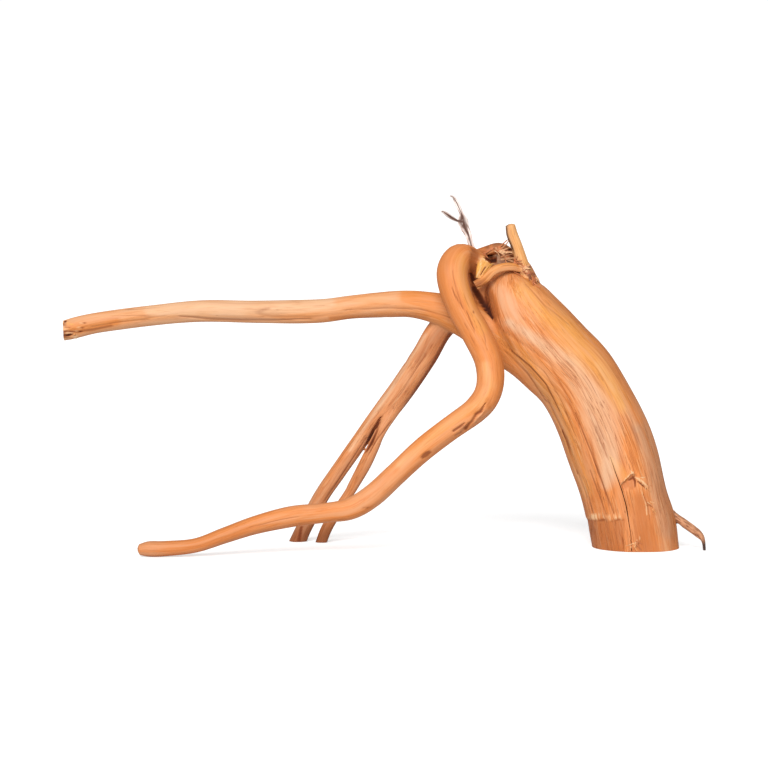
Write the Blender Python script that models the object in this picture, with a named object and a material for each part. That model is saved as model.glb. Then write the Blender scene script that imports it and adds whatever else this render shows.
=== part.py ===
"""Bogwood root: a bent trunk sawn flat at its foot, with a level branch, a hooked front root and two back legs.

One grown piece of wood, in metres, +Z up, seen from the front along +Y. The origin is the middle of the sawn foot.
"""

import math
import random

import bmesh
import bpy
import numpy as np

MM = 0.001
SEED = 41

# Stations along each limb: x, y, z of the middle and the half thickness there, in millimetres.
TRUNK = (
    (4, 0, -24, 27),
    (0.5, 0, -3, 27.3),
    (-2.2, 0, 13.5, 27.6),
    (-6.2, 0, 29, 27.3),
    (-13.5, 0, 54, 27.5),
    (-22.7, 0, 79.5, 27.4),
    (-36.8, 0, 104, 26.8),
    (-51.3, 0, 119.5, 26.2),
    (-64.5, 0, 134, 25.6),
    (-73.6, 0, 147, 22.4),
    (-78, 0, 159, 18.6),
    (-79, 0, 167, 13.6),
    (-79, 0, 172, 6),
)
LEVEL_BRANCH = (
    (-359, 8, 135.3, 6.6),
    (-350, 8, 137.6, 6.9),
    (-336, 8, 140.6, 6.6),
    (-306, 8, 144.6, 6.6),
    (-273, 7, 147.6, 6.7),
    (-238, 6, 147.2, 7.1),
    (-200, 5, 147.6, 7.5),
    (-178, 4, 150.2, 7.4),
    (-155.5, 3, 151.8, 7.9),
    (-140.5, 2, 152, 8.2),
    (-125.5, 1, 149.5, 9.4),
    (-113.5, 0, 146, 11),
    (-99, 0, 139, 12.5),
    (-82.5, 0, 126.5, 13),
    (-57, 0, 112, 14),
)
FRONT_ROOT = (
    (-84, 7, 130, 10.5),
    (-91, 7, 149, 11),
    (-94.5, 6, 164.5, 10.4),
    (-101.8, -1, 177, 9),
    (-110.8, -8, 180.6, 9.8),
    (-115.8, -15, 173, 10.5),
    (-114.4, -19, 161.5, 10.2),
    (-109, -21, 148, 9.8),
    (-101, -22, 134, 9.8),
    (-94.3, -24, 119.5, 9.3),
    (-92.8, -27, 106.5, 9),
    (-95.8, -29, 95.8, 8.8),
    (-103, -30, 87.5, 8.4),
    (-119, -32, 76.3, 8),
    (-135.4, -33, 63.6, 7.9),
    (-151, -34, 49.2, 7.7),
    (-165, -34, 36.3, 7.7),
    (-178.5, -35, 28.3, 7.4),
    (-194, -36, 25.8, 6.7),
    (-214, -38, 23.5, 6.6),
    (-236, -41, 18.6, 5.8),
    (-255, -44, 12.5, 5.1),
    (-273, -46, 7, 4.8),
    (-291.5, -47, 5.2, 5.2),
    (-301, -47, 5, 5.3),
    (-307, -47, 4.5, 3.8),
)
BACK_BRANCH = (
    (-108.5, 4, 150.5, 7.8),
    (-122.5, 7, 136, 7.6),
    (-132.7, 10, 119.2, 8.1),
    (-145.3, 13, 100.2, 8.2),
    (-155, 15, 87.3, 7.8),
    (-163.5, 16, 77.6, 6.4),
    (-172, 18, 66.8, 5.5),
    (-180.3, 19, 55.2, 5.5),
    (-189.3, 21, 42.2, 5.4),
    (-198, 23, 29.2, 5.1),
    (-209, 26, 8.8, 5.1),
    (-214.2, 27, -3, 5.6),
    (-219, 28, -14, 5.6),
)
SECOND_LEG = (
    (-138, 12.5, 106.5, 4.6),
    (-148.6, 12, 88.5, 4.6),
    (-156.8, 10.5, 75.8, 3.9),
    (-161, 10, 68.8, 3.6),
    (-164.5, 11, 62.5, 3.6),
    (-170.5, 13, 50, 3.8),
    (-177.5, 16, 37, 3.3),
    (-181, 17, 30.5, 3.3),
    (-193.5, 20, 11, 3.6),
    (-199, 22, -2.5, 3.6),
    (-204.5, 23, -13.5, 3.8),
)
STUB = (
    (-66.5, -3, 163, 3.7),
    (-71.2, -4, 174.5, 3.3),
    (-73.8, -4, 182.5, 3.2),
    (-76, -4, 189.5, 3.1),
    (-78.4, -3, 195.5, 3.1),
    (-79.6, -3, 200.3, 2.5),
)
COLLAR = (
    (-102, 3, 179.5, 3),
    (-94, 6, 183.5, 3.2),
    (-86, 6, 184.5, 3.4),
    (-79, 4, 181, 4),
    (-72, 1, 175, 4.2),
    (-65, -1, 167.5, 3.8),
    (-60.5, -1, 160, 3),
)
CROWN_BACK = (
    (-97, 8, 168, 7),
    (-89, 9, 176.5, 7),
    (-80, 7, 175.5, 7.6),
    (-72, 3, 167, 6.5),
)
STRAP = (
    (-101, -13, 165, 2.7),
    (-95, -13, 168.2, 2.8),
    (-86.5, -12, 174, 2.7),
    (-78, -9, 176.3, 2.8),
    (-68, -2, 170, 3),
)
WEB = (
    (-96.5, -12, 167.5, 2.6),
    (-94.5, -7, 173, 3),
    (-92, 0, 178, 2.6),
)
DRY_TWIG = (
    (-98, 1, 178, 1.6),
    (-100.8, 0, 184.5, 1.4),
    (-103.6, -2, 190, 1.5),
    (-105.8, -3, 195.5, 1.9),
    (-107.8, -4, 201.5, 2.2),
    (-109.2, -4, 208, 1.3),
    (-111, -5, 213.5, 0.9),
    (-113, -6, 217, 0.7),
    (-117, -8, 219, 0.5),
)
TWIG_PRONG = (
    (-107, -4, 199, 1.1),
    (-111.5, -6, 203.5, 0.9),
    (-115.3, -8, 206, 1),
    (-119.4, -10, 208.5, 0.8),
    (-123, -12, 210, 0.5),
)
ROOTLET = (
    (9, 0, 30, 3.6),
    (16.5, 0, 25.3, 3.2),
    (23.5, -3, 20, 2.6),
    (32.5, -8, 14.3, 2.5),
    (38, -12, 9.5, 2),
    (40.7, -15, 5.5, 1.1),
    (41.5, -18, -2, 0.7),
)
ROOTLET_SPUR = (
    (22, -2, 21, 1.6),
    (24.5, -2.5, 17.5, 1.1),
    (25.5, -3, 15, 0.6),
)
LEG_SPUR = (
    (-176, 18, 64, 2.2),
    (-172.3, 17, 61.2, 1.4),
    (-170, 16.5, 59.5, 0.7),
)
BARK_EDGE = (
    (-93.6, -27.5, 102, 7),
    (-96, -29.5, 95, 8),
    (-102.6, -30.5, 87, 8),
    (-112.8, -31.6, 80.2, 7.6),
    (-121, -32, 75, 6.4),
)
# Each limb: stations, sides, ring step in millimetres, depth over width, how uneven its section is.
LIMBS = {
    "trunk": (TRUNK, 36, 6.0, 0.96, 1.0),
    "level_branch": (LEVEL_BRANCH, 20, 8.4, 0.94, 1.0),
    "front_root": (FRONT_ROOT, 20, 7.0, 0.92, 1.0),
    "back_branch": (BACK_BRANCH, 18, 7.5, 0.95, 1.2),
    "second_leg": (SECOND_LEG, 12, 6.5, 0.95, 1.4),
    "stub": (STUB, 12, 5.0, 0.9, 0.8),
    "collar": (COLLAR, 10, 4.0, 0.9, 2.5),
    "crown_back": (CROWN_BACK, 12, 6.0, 0.8, 1.5),
    "strap": (STRAP, 10, 5.0, 0.55, 1.0),
    "web": (WEB, 8, 4.0, 0.4, 1.0),
    "dry_twig": (DRY_TWIG, 8, 4.0, 0.5, 1.0),
    "twig_prong": (TWIG_PRONG, 8, 4.5, 0.7, 1.0),
    "rootlet": (ROOTLET, 8, 5.0, 0.9, 1.6),
    "rootlet_spur": (ROOTLET_SPUR, 6, 3.0, 0.9, 1.0),
    "leg_spur": (LEG_SPUR, 6, 3.0, 0.9, 1.0),
    "bark_edge": (BARK_EDGE, 18, 5.0, 0.9, 2.0),
}
# Lobes round a limb's section: how many, how high as a share of the radius, turn in radians a metre.
LOBES = ((2, 0.022, 9.0), (3, 0.016, 7.0), (5, 0.009, 4.0), (7, 0.006, 3.0))

BROKEN_END_JAG = 1.1
LEDGE_HEIGHT = 17.0
LEDGE_DEPTH = 1.3
LEDGE_RIGHT = -5.5
LEDGE_BACK = 12.0
CRACK = ((-15, 52.5), (-10.5, 38), (-8, 29.5), (-5.5, 21.5), (-4.2, 10.5), (-2.5, -2))
CRACK_HALF_WIDTH = 0.45
CRACK_DEPTH = 3.0
KNOB = (3, -19.6, 41)
KNOB_SIZE = (9, 5.2, 8)
SCAR = (-2.6, -27.6, 38)
SCAR_SIZE = (5, 3.4, 3.8)
FIBRE_COUNT = 42
FIBRE_HALF_THICKNESS = 0.5
FIBRE_ROOT = 2.6


def clear_scene():
    """Starts from an empty scene."""
    for item in list(bpy.data.objects):
        bpy.data.objects.remove(item, do_unlink=True)


def smooth_line(stations, step):
    """Middle points and radii at even steps along a Catmull-Rom curve through the stations, in millimetres."""
    knots = np.array(stations, float)
    knots = np.vstack([2 * knots[0] - knots[1], knots, 2 * knots[-1] - knots[-2]])
    fine = []
    for a, b, c, d in zip(knots, knots[1:], knots[2:], knots[3:]):
        for t in np.linspace(0, 1, 24, endpoint=False):
            square = (2 * a - 5 * b + 4 * c - d) * t**2
            cube = (3 * b - a - 3 * c + d) * t**3
            fine.append(0.5 * (2 * b + (c - a) * t + square + cube))
    fine.append(knots[-2])
    fine = np.array(fine)
    steps = np.linalg.norm(np.diff(fine[:, :3], axis=0), axis=1)
    along = np.concatenate([[0], np.cumsum(steps)])
    at = np.linspace(0, along[-1], max(3, round(along[-1] / step) + 1))
    return np.column_stack([np.interp(at, along, column) for column in fine.T]), at


def frames(points):
    """Tangent, front and side directions at each point, carried along without twist. Front starts towards -Y."""
    tangents = np.gradient(points, axis=0)
    tangents /= np.linalg.norm(tangents, axis=1)[:, None]
    front = np.array([0.0, -1.0, 0.0])
    fronts = []
    for tangent in tangents:
        front = front - tangent * (front @ tangent)
        front /= np.linalg.norm(front)
        fronts.append(front)
    fronts = np.array(fronts)
    return tangents, fronts, np.cross(tangents, fronts)


def closed_mesh(name, rings, first, last):
    """An object from rings of equal count, closed by a fan to a point at each end."""
    mesh = bmesh.new()
    verts = [[mesh.verts.new(point * MM) for point in ring] for ring in rings]
    sides = len(verts[0])
    for lower, upper in zip(verts, verts[1:]):
        for i in range(sides):
            j = (i + 1) % sides
            mesh.faces.new((lower[i], lower[j], upper[j], upper[i]))
    for ring, middle in ((verts[0], first), (verts[-1], last)):
        hub = mesh.verts.new(middle * MM)
        for i in range(sides):
            mesh.faces.new((ring[i], ring[(i + 1) % sides], hub))
    bmesh.ops.recalc_face_normals(mesh, faces=mesh.faces)
    data = bpy.data.meshes.new(name)
    mesh.to_mesh(data)
    mesh.free()
    return bpy.data.objects.new(name, data)


def limb(name, stations, sides, step, depth, uneven, shrink=0.0, jag=0.0):
    """A tapering round limb whose section swells and turns a little along its length."""
    rng = random.Random(f"{SEED}{name}")
    line, along = smooth_line(stations, step)
    tangents, fronts, across = frames(line[:, :3])
    angles = np.linspace(0, 2 * math.pi, sides, endpoint=False)
    lobes = [(n, high * uneven, turn * MM, rng.uniform(0, 2 * math.pi)) for n, high, turn in LOBES]
    swell = [rng.uniform(0, 2 * math.pi) for _ in range(2)]
    rings = []
    for k, (x, y, z, radius) in enumerate(line):
        s = along[k]
        wave = sum(high * np.cos(n * angles + turn * s + phase) for n, high, turn, phase in lobes)
        bump = 0.012 * uneven * (math.sin(s / 9 + swell[0]) + math.sin(s / 23 + swell[1]))
        reach = (radius - shrink) * (1 + wave + bump)
        ring = np.array([x, y, z]) + np.outer(reach * depth * np.cos(angles), fronts[k])
        ring = ring + np.outer(reach * np.sin(angles), across[k])
        if jag and k == 0:
            jump = np.array([rng.uniform(-jag, jag) for _ in angles])
            ring = ring + np.outer(jump, tangents[k])
        rings.append(ring)
    first = line[0, :3] + tangents[0] * jag
    return closed_mesh(name, rings, first, line[-1, :3] + tangents[-1] * line[-1, 3] * 0.35)


def fibre(name, start, heading, length, rng):
    """A torn three-sided fibre, curved, with its root sunk into the wood."""
    heading = heading / np.linalg.norm(heading)
    bend = np.array([rng.uniform(-1, 1) for _ in range(3)])
    bend -= heading * (bend @ heading)
    middles = []
    for t in (-FIBRE_ROOT / length, 0.0, 0.3, 0.6, 1.0):
        middles.append(start + heading * length * t + bend * length * 0.3 * max(t, 0) ** 2)
    middles = np.array(middles)
    tangents, fronts, across = frames(middles)
    rings = []
    for k, middle in enumerate(middles):
        half = FIBRE_HALF_THICKNESS * (1.25 if k < 2 else 1.0)
        corners = [middle + half * (math.cos(a) * fronts[k] + math.sin(a) * across[k]) for a in (0, 2.1, 4.2)]
        rings.append(np.array(corners))
    return closed_mesh(name, rings, middles[0] - tangents[0] * 0.3, middles[-1] + tangents[-1] * 0.5)


def torn_fibres():
    """The tangle of torn fibres on the collar, and a few flakes at the scar and above the ledge."""
    rng = random.Random(SEED)
    line, _ = smooth_line(COLLAR, 1.0)
    found = []
    for k in range(FIBRE_COUNT):
        x, y, z, radius = line[rng.randrange(6, len(line) - 6)]
        turn = rng.uniform(-0.4, math.pi + 0.4)
        out = np.array([0.25 * math.cos(turn), -math.cos(turn), abs(math.sin(turn))])
        heading = np.array([rng.choice((-1, 1)), rng.uniform(-0.7, 0.2), rng.uniform(-0.3, 0.4)])
        if x > -74:
            heading = np.array([rng.uniform(-0.9, 0.5), rng.uniform(-0.9, -0.1), rng.uniform(-1.3, -0.2)])
        start = np.array([x, y, z]) + out / np.linalg.norm(out) * radius * 0.8
        found.append(fibre(f"fibre_{k}", start, heading, rng.uniform(5, 11), rng))
    for k, (x, z) in enumerate(((1, 43), (5, 41), (7, 37), (6.5, 30), (9, 28))):
        start = np.array([x, -26.0 + abs(x + 9) * 0.3, z])
        heading = np.array([rng.uniform(0.2, 0.8), -0.5, rng.uniform(-1.2, -0.6)])
        found.append(fibre(f"flake_{k}", start, heading, rng.uniform(2.5, 4), rng))
    return found


def box(name, low, high):
    """A closed box between two corners in millimetres."""
    (x0, y0, z0), (x1, y1, z1) = low, high
    lower = np.array([(x0, y0, z0), (x1, y0, z0), (x1, y1, z0), (x0, y1, z0)], float)
    upper = lower + np.array([0, 0, z1 - z0])
    return closed_mesh(name, [lower, upper], lower.mean(axis=0), upper.mean(axis=0))


def ball(name, middle, size):
    """A smooth rounded lump or hollow."""
    mesh = bmesh.new()
    bmesh.ops.create_icosphere(mesh, subdivisions=3, radius=1)
    for vert in mesh.verts:
        vert.co = [(middle[i] + vert.co[i] * size[i]) * MM for i in range(3)]
    data = bpy.data.meshes.new(name)
    mesh.to_mesh(data)
    mesh.free()
    return bpy.data.objects.new(name, data)


def boolean(target, operation, operand):
    """Applies one Boolean, and removes what it used."""
    collection = bpy.data.collections.new("operands")
    bpy.context.scene.collection.children.link(collection)
    for item in operand:
        collection.objects.link(item)
    modifier = target.modifiers.new(operation.title(), "BOOLEAN")
    modifier.operation = operation
    modifier.solver = "EXACT"
    modifier.operand_type = "COLLECTION"
    modifier.collection = collection
    bpy.context.view_layer.objects.active = target
    bpy.ops.object.modifier_apply(modifier=modifier.name)
    for item in operand:
        bpy.data.objects.remove(item, do_unlink=True)
    bpy.data.collections.remove(collection)


def crack_cutter():
    """A thin blade that follows the long crack down the front of the trunk."""
    rings = []
    for x, z in CRACK:
        middle_x = -9 - (z - 32) * 0.33
        front = -math.sqrt(max(26.2**2 - (x - middle_x) ** 2, 1)) * 0.96
        corners = (
            (x - CRACK_HALF_WIDTH, front - 3, z),
            (x + CRACK_HALF_WIDTH, front - 3, z),
            (x + CRACK_HALF_WIDTH * 0.7, front + CRACK_DEPTH, z),
            (x - CRACK_HALF_WIDTH * 0.7, front + CRACK_DEPTH, z),
        )
        rings.append(np.array(corners, float))
    return closed_mesh("crack", rings, rings[0].mean(axis=0) + (0, 0, 0.5), rings[-1].mean(axis=0) - (0, 0, 0.5))


def ledge_cutter():
    """The thin shell taken off the lower left front of the trunk, under a scored saw line."""
    stations, sides, step, depth, uneven = LIMBS["trunk"]
    shell = box("ledge", (-60, -60, -30), (LEDGE_RIGHT, LEDGE_BACK, LEDGE_HEIGHT))
    bpy.context.scene.collection.objects.link(shell)
    core = limb("trunk", stations, sides, step, depth, uneven, shrink=LEDGE_DEPTH)
    boolean(shell, "DIFFERENCE", [core])
    bpy.context.scene.collection.objects.unlink(shell)
    return shell


def build_root():
    """All limbs joined into one closed piece, cut flat where it stands."""
    limbs = {
        name: limb(name, *values, jag=BROKEN_END_JAG if name == "level_branch" else 0.0)
        for name, values in LIMBS.items()
    }
    root = limbs.pop("trunk")
    root.name = "bogwood_root"
    root.data.name = "bogwood_root"
    bpy.context.scene.collection.objects.link(root)
    knob = ball("knob", KNOB, KNOB_SIZE)
    boolean(root, "UNION", list(limbs.values()) + [knob])
    boolean(root, "UNION", torn_fibres())
    cutters = [
        box("ground", (-420, -120, -60), (120, 120, 0)),
        crack_cutter(),
        ledge_cutter(),
        ball("scar", SCAR, SCAR_SIZE),
    ]
    for cutter in cutters:
        boolean(root, "DIFFERENCE", [cutter])
    return root


def wood():
    """Peeled bogwood: pale orange, dry and half matt."""
    material = bpy.data.materials.new("peeled_wood")
    material.use_nodes = True
    shader = material.node_tree.nodes["Principled BSDF"]
    shader.inputs["Base Color"].default_value = (0.70, 0.33, 0.12, 1)
    shader.inputs["Roughness"].default_value = 0.6
    return material


clear_scene()
bogwood_root = build_root()
bogwood_root.data.materials.append(wood())
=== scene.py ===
"""Bogwood root, peeled and dry: a bent trunk with its limbs, torn fibres, a dry twig and a hair root.

The root stands on its sawn foot and on the ends of its legs. Sizes are in millimetres, turned to metres
where a mesh is made.
"""

from __future__ import annotations

import logging
import math
import random
from dataclasses import dataclass, field, replace
from enum import Enum
from typing import Any

import bpy
import numpy as np
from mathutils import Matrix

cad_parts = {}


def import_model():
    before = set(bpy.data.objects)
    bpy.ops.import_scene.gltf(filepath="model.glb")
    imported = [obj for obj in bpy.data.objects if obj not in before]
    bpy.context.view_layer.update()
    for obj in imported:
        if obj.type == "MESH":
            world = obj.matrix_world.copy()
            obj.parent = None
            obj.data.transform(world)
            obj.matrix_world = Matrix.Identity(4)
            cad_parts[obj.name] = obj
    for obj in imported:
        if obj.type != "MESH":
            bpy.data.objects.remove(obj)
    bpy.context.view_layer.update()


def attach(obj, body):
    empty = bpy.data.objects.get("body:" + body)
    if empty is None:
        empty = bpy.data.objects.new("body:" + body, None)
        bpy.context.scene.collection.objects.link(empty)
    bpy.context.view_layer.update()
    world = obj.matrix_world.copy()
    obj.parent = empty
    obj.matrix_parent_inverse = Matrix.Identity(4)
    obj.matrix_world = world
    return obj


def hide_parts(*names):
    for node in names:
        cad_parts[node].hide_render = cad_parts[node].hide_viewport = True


MM = 0.001
SEED = 41
BODY = "root"
NODE = "bogwood_root"
FAR = 150.0
LOG = logging.getLogger("bogwood")

# The studio's view: a long lens a little above the root, level with its middle. Lengths are in millimetres.
VIEW_RISE = 4.0
VIEW_LENS, VIEW_SENSOR = 120.0, 36.0
VIEW_TARGET = (-158.1, 0.0, 102.3)
VIEW_DISTANCE = 1600.0
VIEW_FROM = (
    VIEW_TARGET[0],
    VIEW_TARGET[1] - VIEW_DISTANCE * math.cos(math.radians(VIEW_RISE)),
    VIEW_TARGET[2] + VIEW_DISTANCE * math.sin(math.radians(VIEW_RISE)),
)
SKETCH = 768
STEPS_A_MM = 1.6

Station = tuple[float, float, float, float]
Array = np.ndarray

# Lobes round a limb's section: how many, how high as a share of the radius, turn in radians a metre.
LOBES = ((2, 0.022, 9.0), (3, 0.016, 7.0), (5, 0.009, 4.0), (7, 0.006, 3.0))


class Grain(Enum):
    """Which of two grain attributes a limb writes, so that limbs that meet blend from one to the other."""

    FIRST = "grain_a"
    SECOND = "grain_b"


@dataclass(frozen=True)
class Tone:
    """How a limb's wood is coloured: from pale to orange, towards brown, and towards straw yellow."""

    warmth: float = 0.6
    shade: float = 0.0
    straw: float = 0.0


@dataclass(frozen=True)
class Limb:
    """A limb's stations (x, y, z and half thickness), its section and how finely it is meshed."""

    name: str
    stations: tuple[Station, ...]
    depth: float
    uneven: float
    columns: int
    ring: float
    grain: Grain
    tone: Tone
    fillet: float = 0.35
    holds: float = 1.0
    joins_at_end: bool = False
    coarse: float = 1.0
    grain_line: tuple[Station, ...] = ()
    lined: float = 0.8


TRUNK = Limb(
    "trunk",
    (
        (3.6, 0, -24, 27.4), (0.1, 0, -3, 27.8), (-2.5, 0, 13.5, 27.9), (-6.4, 0, 29, 27.1),
        (-13.1, 0, 54, 28), (-22.9, 0, 79.5, 27.1), (-36.3, 0, 104.4, 26.8), (-50.5, 0, 120.3, 26.4),
        (-63.2, 0, 135.3, 25.8), (-72.2, 0, 148.2, 22.8), (-77.8, 0, 159.2, 18.4), (-79, 0, 167, 13.6),
        (-79, 0, 172, 6),
    ),
    depth=0.96, uneven=1.0, columns=236, ring=1.7, grain=Grain.FIRST, tone=Tone(0.62), coarse=0.5,
    lined=1.0,
    grain_line=(
        (3.6, 0, -24, 27), (-6.4, 0, 29, 27), (-13.1, 0, 54, 27), (-22.9, 0, 79.5, 27),
        (-36.3, 0, 104.4, 27), (-50.5, 0, 120.3, 27), (-63.2, 0, 135.3, 27), (-72.2, 0, 148.2, 27),
        (-77.4, 0, 159.6, 27), (-79.5, 0, 172, 27), (-80, 0, 200, 27),
    ),
)
LEVEL_BRANCH = Limb(
    "level_branch",
    (
        (-358.3, 8, 135.3, 6.6), (-350, 8, 137.6, 6.9), (-336, 8, 140.6, 6.6), (-306, 8, 144.6, 6.6),
        (-273, 7, 147.6, 6.7), (-238, 6, 147.2, 7.1), (-200, 5, 147.6, 7.5), (-178, 4, 150.2, 7.4),
        (-155.5, 3, 151.8, 7.9), (-140.5, 2, 152, 8.2), (-125.5, 1, 149.5, 9.4), (-113.5, 0, 146, 11),
        (-99, 0, 139, 12.5), (-82.5, 0, 126.5, 13), (-57, 0, 112, 14),
    ),
    depth=0.94, uneven=1.0, columns=72, ring=2.0, grain=Grain.SECOND, tone=Tone(0.62, 0.0, 0.1), fillet=6.0,
    holds=60.0, joins_at_end=True, coarse=0.7, lined=0.6,
)
FRONT_ROOT = Limb(
    "front_root",
    (
        (-84, 7, 130, 10.5), (-91, 7, 149, 11), (-94.5, 6, 164.5, 10.4), (-101.8, -1, 177, 9),
        (-110.8, -8, 180.6, 9.8), (-115.8, -15, 173, 10.5), (-114.4, -19, 161.5, 10.2),
        (-109, -21, 148, 9.8), (-101, -22, 134, 9.8), (-94.3, -24, 119.5, 9.3), (-92.8, -27, 106.5, 9),
        (-95.8, -29, 95.8, 8.8), (-103, -30, 87.5, 8.4), (-119, -32, 76.3, 8), (-135.4, -33, 63.6, 7.9),
        (-151, -34, 49.2, 7.7), (-165, -34, 36.3, 7.7), (-178.5, -35, 28.3, 7.4), (-194, -36, 25.8, 6.7),
        (-214, -38, 23.9, 7.0), (-236, -41, 19.1, 6.2), (-255, -44, 13, 5.5), (-273, -46, 7, 4.8),
        (-291.5, -47, 5.2, 5.2), (-301, -47, 5, 5.3), (-307, -47, 4.5, 3.8),
    ),
    depth=0.92, uneven=1.0, columns=80, ring=1.75, grain=Grain.SECOND, tone=Tone(1.0), fillet=3.5,
    holds=26.0, coarse=0.5, lined=0.45,
)
BACK_BRANCH = Limb(
    "back_branch",
    (
        (-108.5, 4, 150.5, 7.8), (-123, 7, 136, 8.1), (-132.7, 10, 119.2, 8.1), (-145.3, 13, 100.2, 8.2),
        (-155, 15, 87.3, 7.8), (-163.5, 16, 77.6, 6.4), (-172, 18, 66.8, 5.5), (-180.3, 19, 55.2, 5.5),
        (-189.3, 21, 42.2, 5.4), (-198, 23, 29.2, 5.1), (-209, 26, 8.8, 5.1), (-214.2, 27, -3, 5.6),
        (-219, 28, -14, 5.6),
    ),
    depth=0.95, uneven=1.2, columns=66, ring=1.8, grain=Grain.FIRST, tone=Tone(0.72, 0.1), fillet=3.0,
    holds=30.0, lined=0.9,
)
SECOND_LEG = Limb(
    "second_leg",
    (
        (-139.6, 12.5, 106.5, 4.6), (-150, 12, 88.5, 4.6), (-157.9, 10.5, 75.8, 3.8),
        (-161.6, 10, 68.8, 3.5), (-164.4, 11, 62.5, 3.8), (-170.3, 13, 50, 4.1), (-177.3, 16, 37, 3.6),
        (-181, 17, 30.5, 3.3), (-193.5, 20, 11, 3.6), (-199, 22, -2.5, 3.6), (-204.5, 23, -13.5, 3.8),
    ),
    depth=0.95, uneven=1.4, columns=42, ring=1.8, grain=Grain.SECOND, tone=Tone(0.75, 0.14), fillet=2.0,
    holds=40.0,
)
STUB = Limb(
    "stub",
    (
        (-66, -3, 163, 4.2), (-70.7, -4, 174.5, 3.9), (-73.6, -4, 182.5, 3.8), (-76, -4, 189.5, 3.6),
        (-78.4, -3, 195.5, 3.6), (-79.6, -3, 201.2, 3.1),
    ),
    depth=0.9, uneven=0.8, columns=36, ring=1.2, grain=Grain.SECOND, tone=Tone(0.1, 0.0, 0.45), fillet=1.5,
    holds=12.0,
)
COLLAR = Limb(
    "collar",
    (
        (-102, 3, 182.2, 3.2), (-94, 6, 184.8, 3.4), (-86, 6, 186.6, 3.6), (-79, 4, 182.2, 4.2),
        (-71.4, 1, 176, 4.4), (-65.8, -1, 168, 3.6), (-61.5, -1, 160.5, 2.8),
    ),
    depth=0.9, uneven=2.5, columns=40, ring=1.2, grain=Grain.FIRST, tone=Tone(0.8, 0.35), fillet=1.0,
    holds=90.0, coarse=2.2,
)
# The hook's back run, deep in the hollow behind it: the dark brown of its tone is painted shade.
CROWN_BACK = Limb(
    "crown_back",
    (
        (-97, 8, 168, 7), (-89, 9, 176.5, 7), (-80, 7, 175.5, 7.6), (-72, 3, 167, 6.5),
    ),
    depth=0.8, uneven=1.5, columns=44, ring=1.5, grain=Grain.SECOND, tone=Tone(0.5, 0.6), fillet=2.5,
    holds=90.0, coarse=1.5,
)
STRAP = Limb(
    "strap",
    (
        (-101.6, -14, 164.4, 2.6), (-96.3, -14, 167.7, 2.5), (-90.8, -14, 173.2, 2.5),
        (-84.5, -11.4, 175.5, 2.4), (-78.9, -8.8, 175.8, 2.4), (-73.7, -5, 174.6, 2.4),
    ),
    depth=0.55, uneven=1.0, columns=32, ring=1.0, grain=Grain.SECOND, tone=Tone(0.75, 0.0, 0.25),
    fillet=0.5, holds=90.0,
)
WEB = Limb(
    "web",
    (
        (-100, -14, 168.6, 1.5), (-98.4, -12.5, 173, 2.8), (-96.5, -10, 176.8, 4.2),
        (-94.5, -5.5, 179.8, 5.2),
    ),
    depth=0.3, uneven=1.0, columns=28, ring=0.9, grain=Grain.FIRST, tone=Tone(0.1, 0.0, 0.85), fillet=1.2,
    holds=90.0,
)
LEG_SPUR = Limb(
    "leg_spur",
    (
        (-176, 18, 64, 2.2), (-172.3, 17, 61.2, 1.4), (-170, 16.5, 59.5, 0.7),
    ),
    depth=0.9, uneven=1.0, columns=14, ring=0.9, grain=Grain.SECOND, tone=Tone(0.6, 0.5), fillet=0.8,
    holds=20.0,
)
BARK_EDGE = Limb(
    "bark_edge",
    (
        (-94.6, -27.5, 102, 6.8), (-97, -29.5, 95, 7.6), (-103.4, -30.5, 87.6, 7.4),
        (-113.4, -31.6, 80.8, 7), (-121, -32, 75.6, 6),
    ),
    depth=0.9, uneven=2.0, columns=90, ring=0.7, grain=Grain.FIRST, tone=Tone(0.8, 0.12), fillet=0.5,
    holds=90.0,
)
ROOTLET = Limb(
    "rootlet",
    (
        (9, 0, 30.2, 3.4), (16, 0, 25.4, 3), (22.8, -3, 20.1, 2.6), (31.8, -8, 13.9, 2.5),
        (37.8, -12, 9.4, 2.2), (40.4, -15, 5.5, 1.2), (41, -18, -2, 0.7),
    ),
    depth=0.9, uneven=1.6, columns=26, ring=0.9, grain=Grain.FIRST, tone=Tone(0.4, 0.6),
)
ROOTLET_SPUR = Limb(
    "rootlet_spur",
    (
        (22, -2, 21, 1.6), (24.5, -2.5, 17.5, 1.1), (25.5, -3, 15, 0.6),
    ),
    depth=0.9, uneven=1.0, columns=14, ring=0.7, grain=Grain.FIRST, tone=Tone(0.4, 0.9),
)
DRY_TWIG = Limb(
    "dry_twig",
    (
        (-98, 1, 178, 1.8), (-102.2, 0, 184.5, 1.7), (-104.5, -2, 190.9, 1.8), (-105.5, -3, 194.6, 2.0),
        (-107.2, -3.5, 198.4, 2.5), (-109.3, -4, 203.4, 3.2), (-109.6, -4.5, 205.9, 2.6),
        (-110, -4.5, 208.4, 1.3), (-111.6, -5, 212.1, 1.2), (-113.1, -5.5, 215.3, 1.4),
        (-114.2, -6, 217.4, 1.1), (-115.4, -7, 218.9, 0.7), (-117, -8, 219.5, 0.5),
    ),
    depth=0.5, uneven=1.0, columns=40, ring=0.6, grain=Grain.FIRST, tone=Tone(),
)
TWIG_PRONG = Limb(
    "twig_prong",
    (
        (-110, -4, 203.6, 0.8), (-112.2, -4.5, 204, 0.7), (-115.4, -6, 205.6, 1.2),
        (-118.4, -8, 207.6, 1.3), (-121, -9.5, 209.4, 0.9), (-122.6, -11, 210, 0.5),
    ),
    depth=0.7, uneven=1.0, columns=28, ring=0.6, grain=Grain.FIRST, tone=Tone(),
)
WOOD_LIMBS = (
    TRUNK, LEVEL_BRANCH, BACK_BRANCH, SECOND_LEG, FRONT_ROOT, BARK_EDGE, CROWN_BACK, COLLAR, STRAP, WEB,
    STUB, LEG_SPUR,
)


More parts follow.
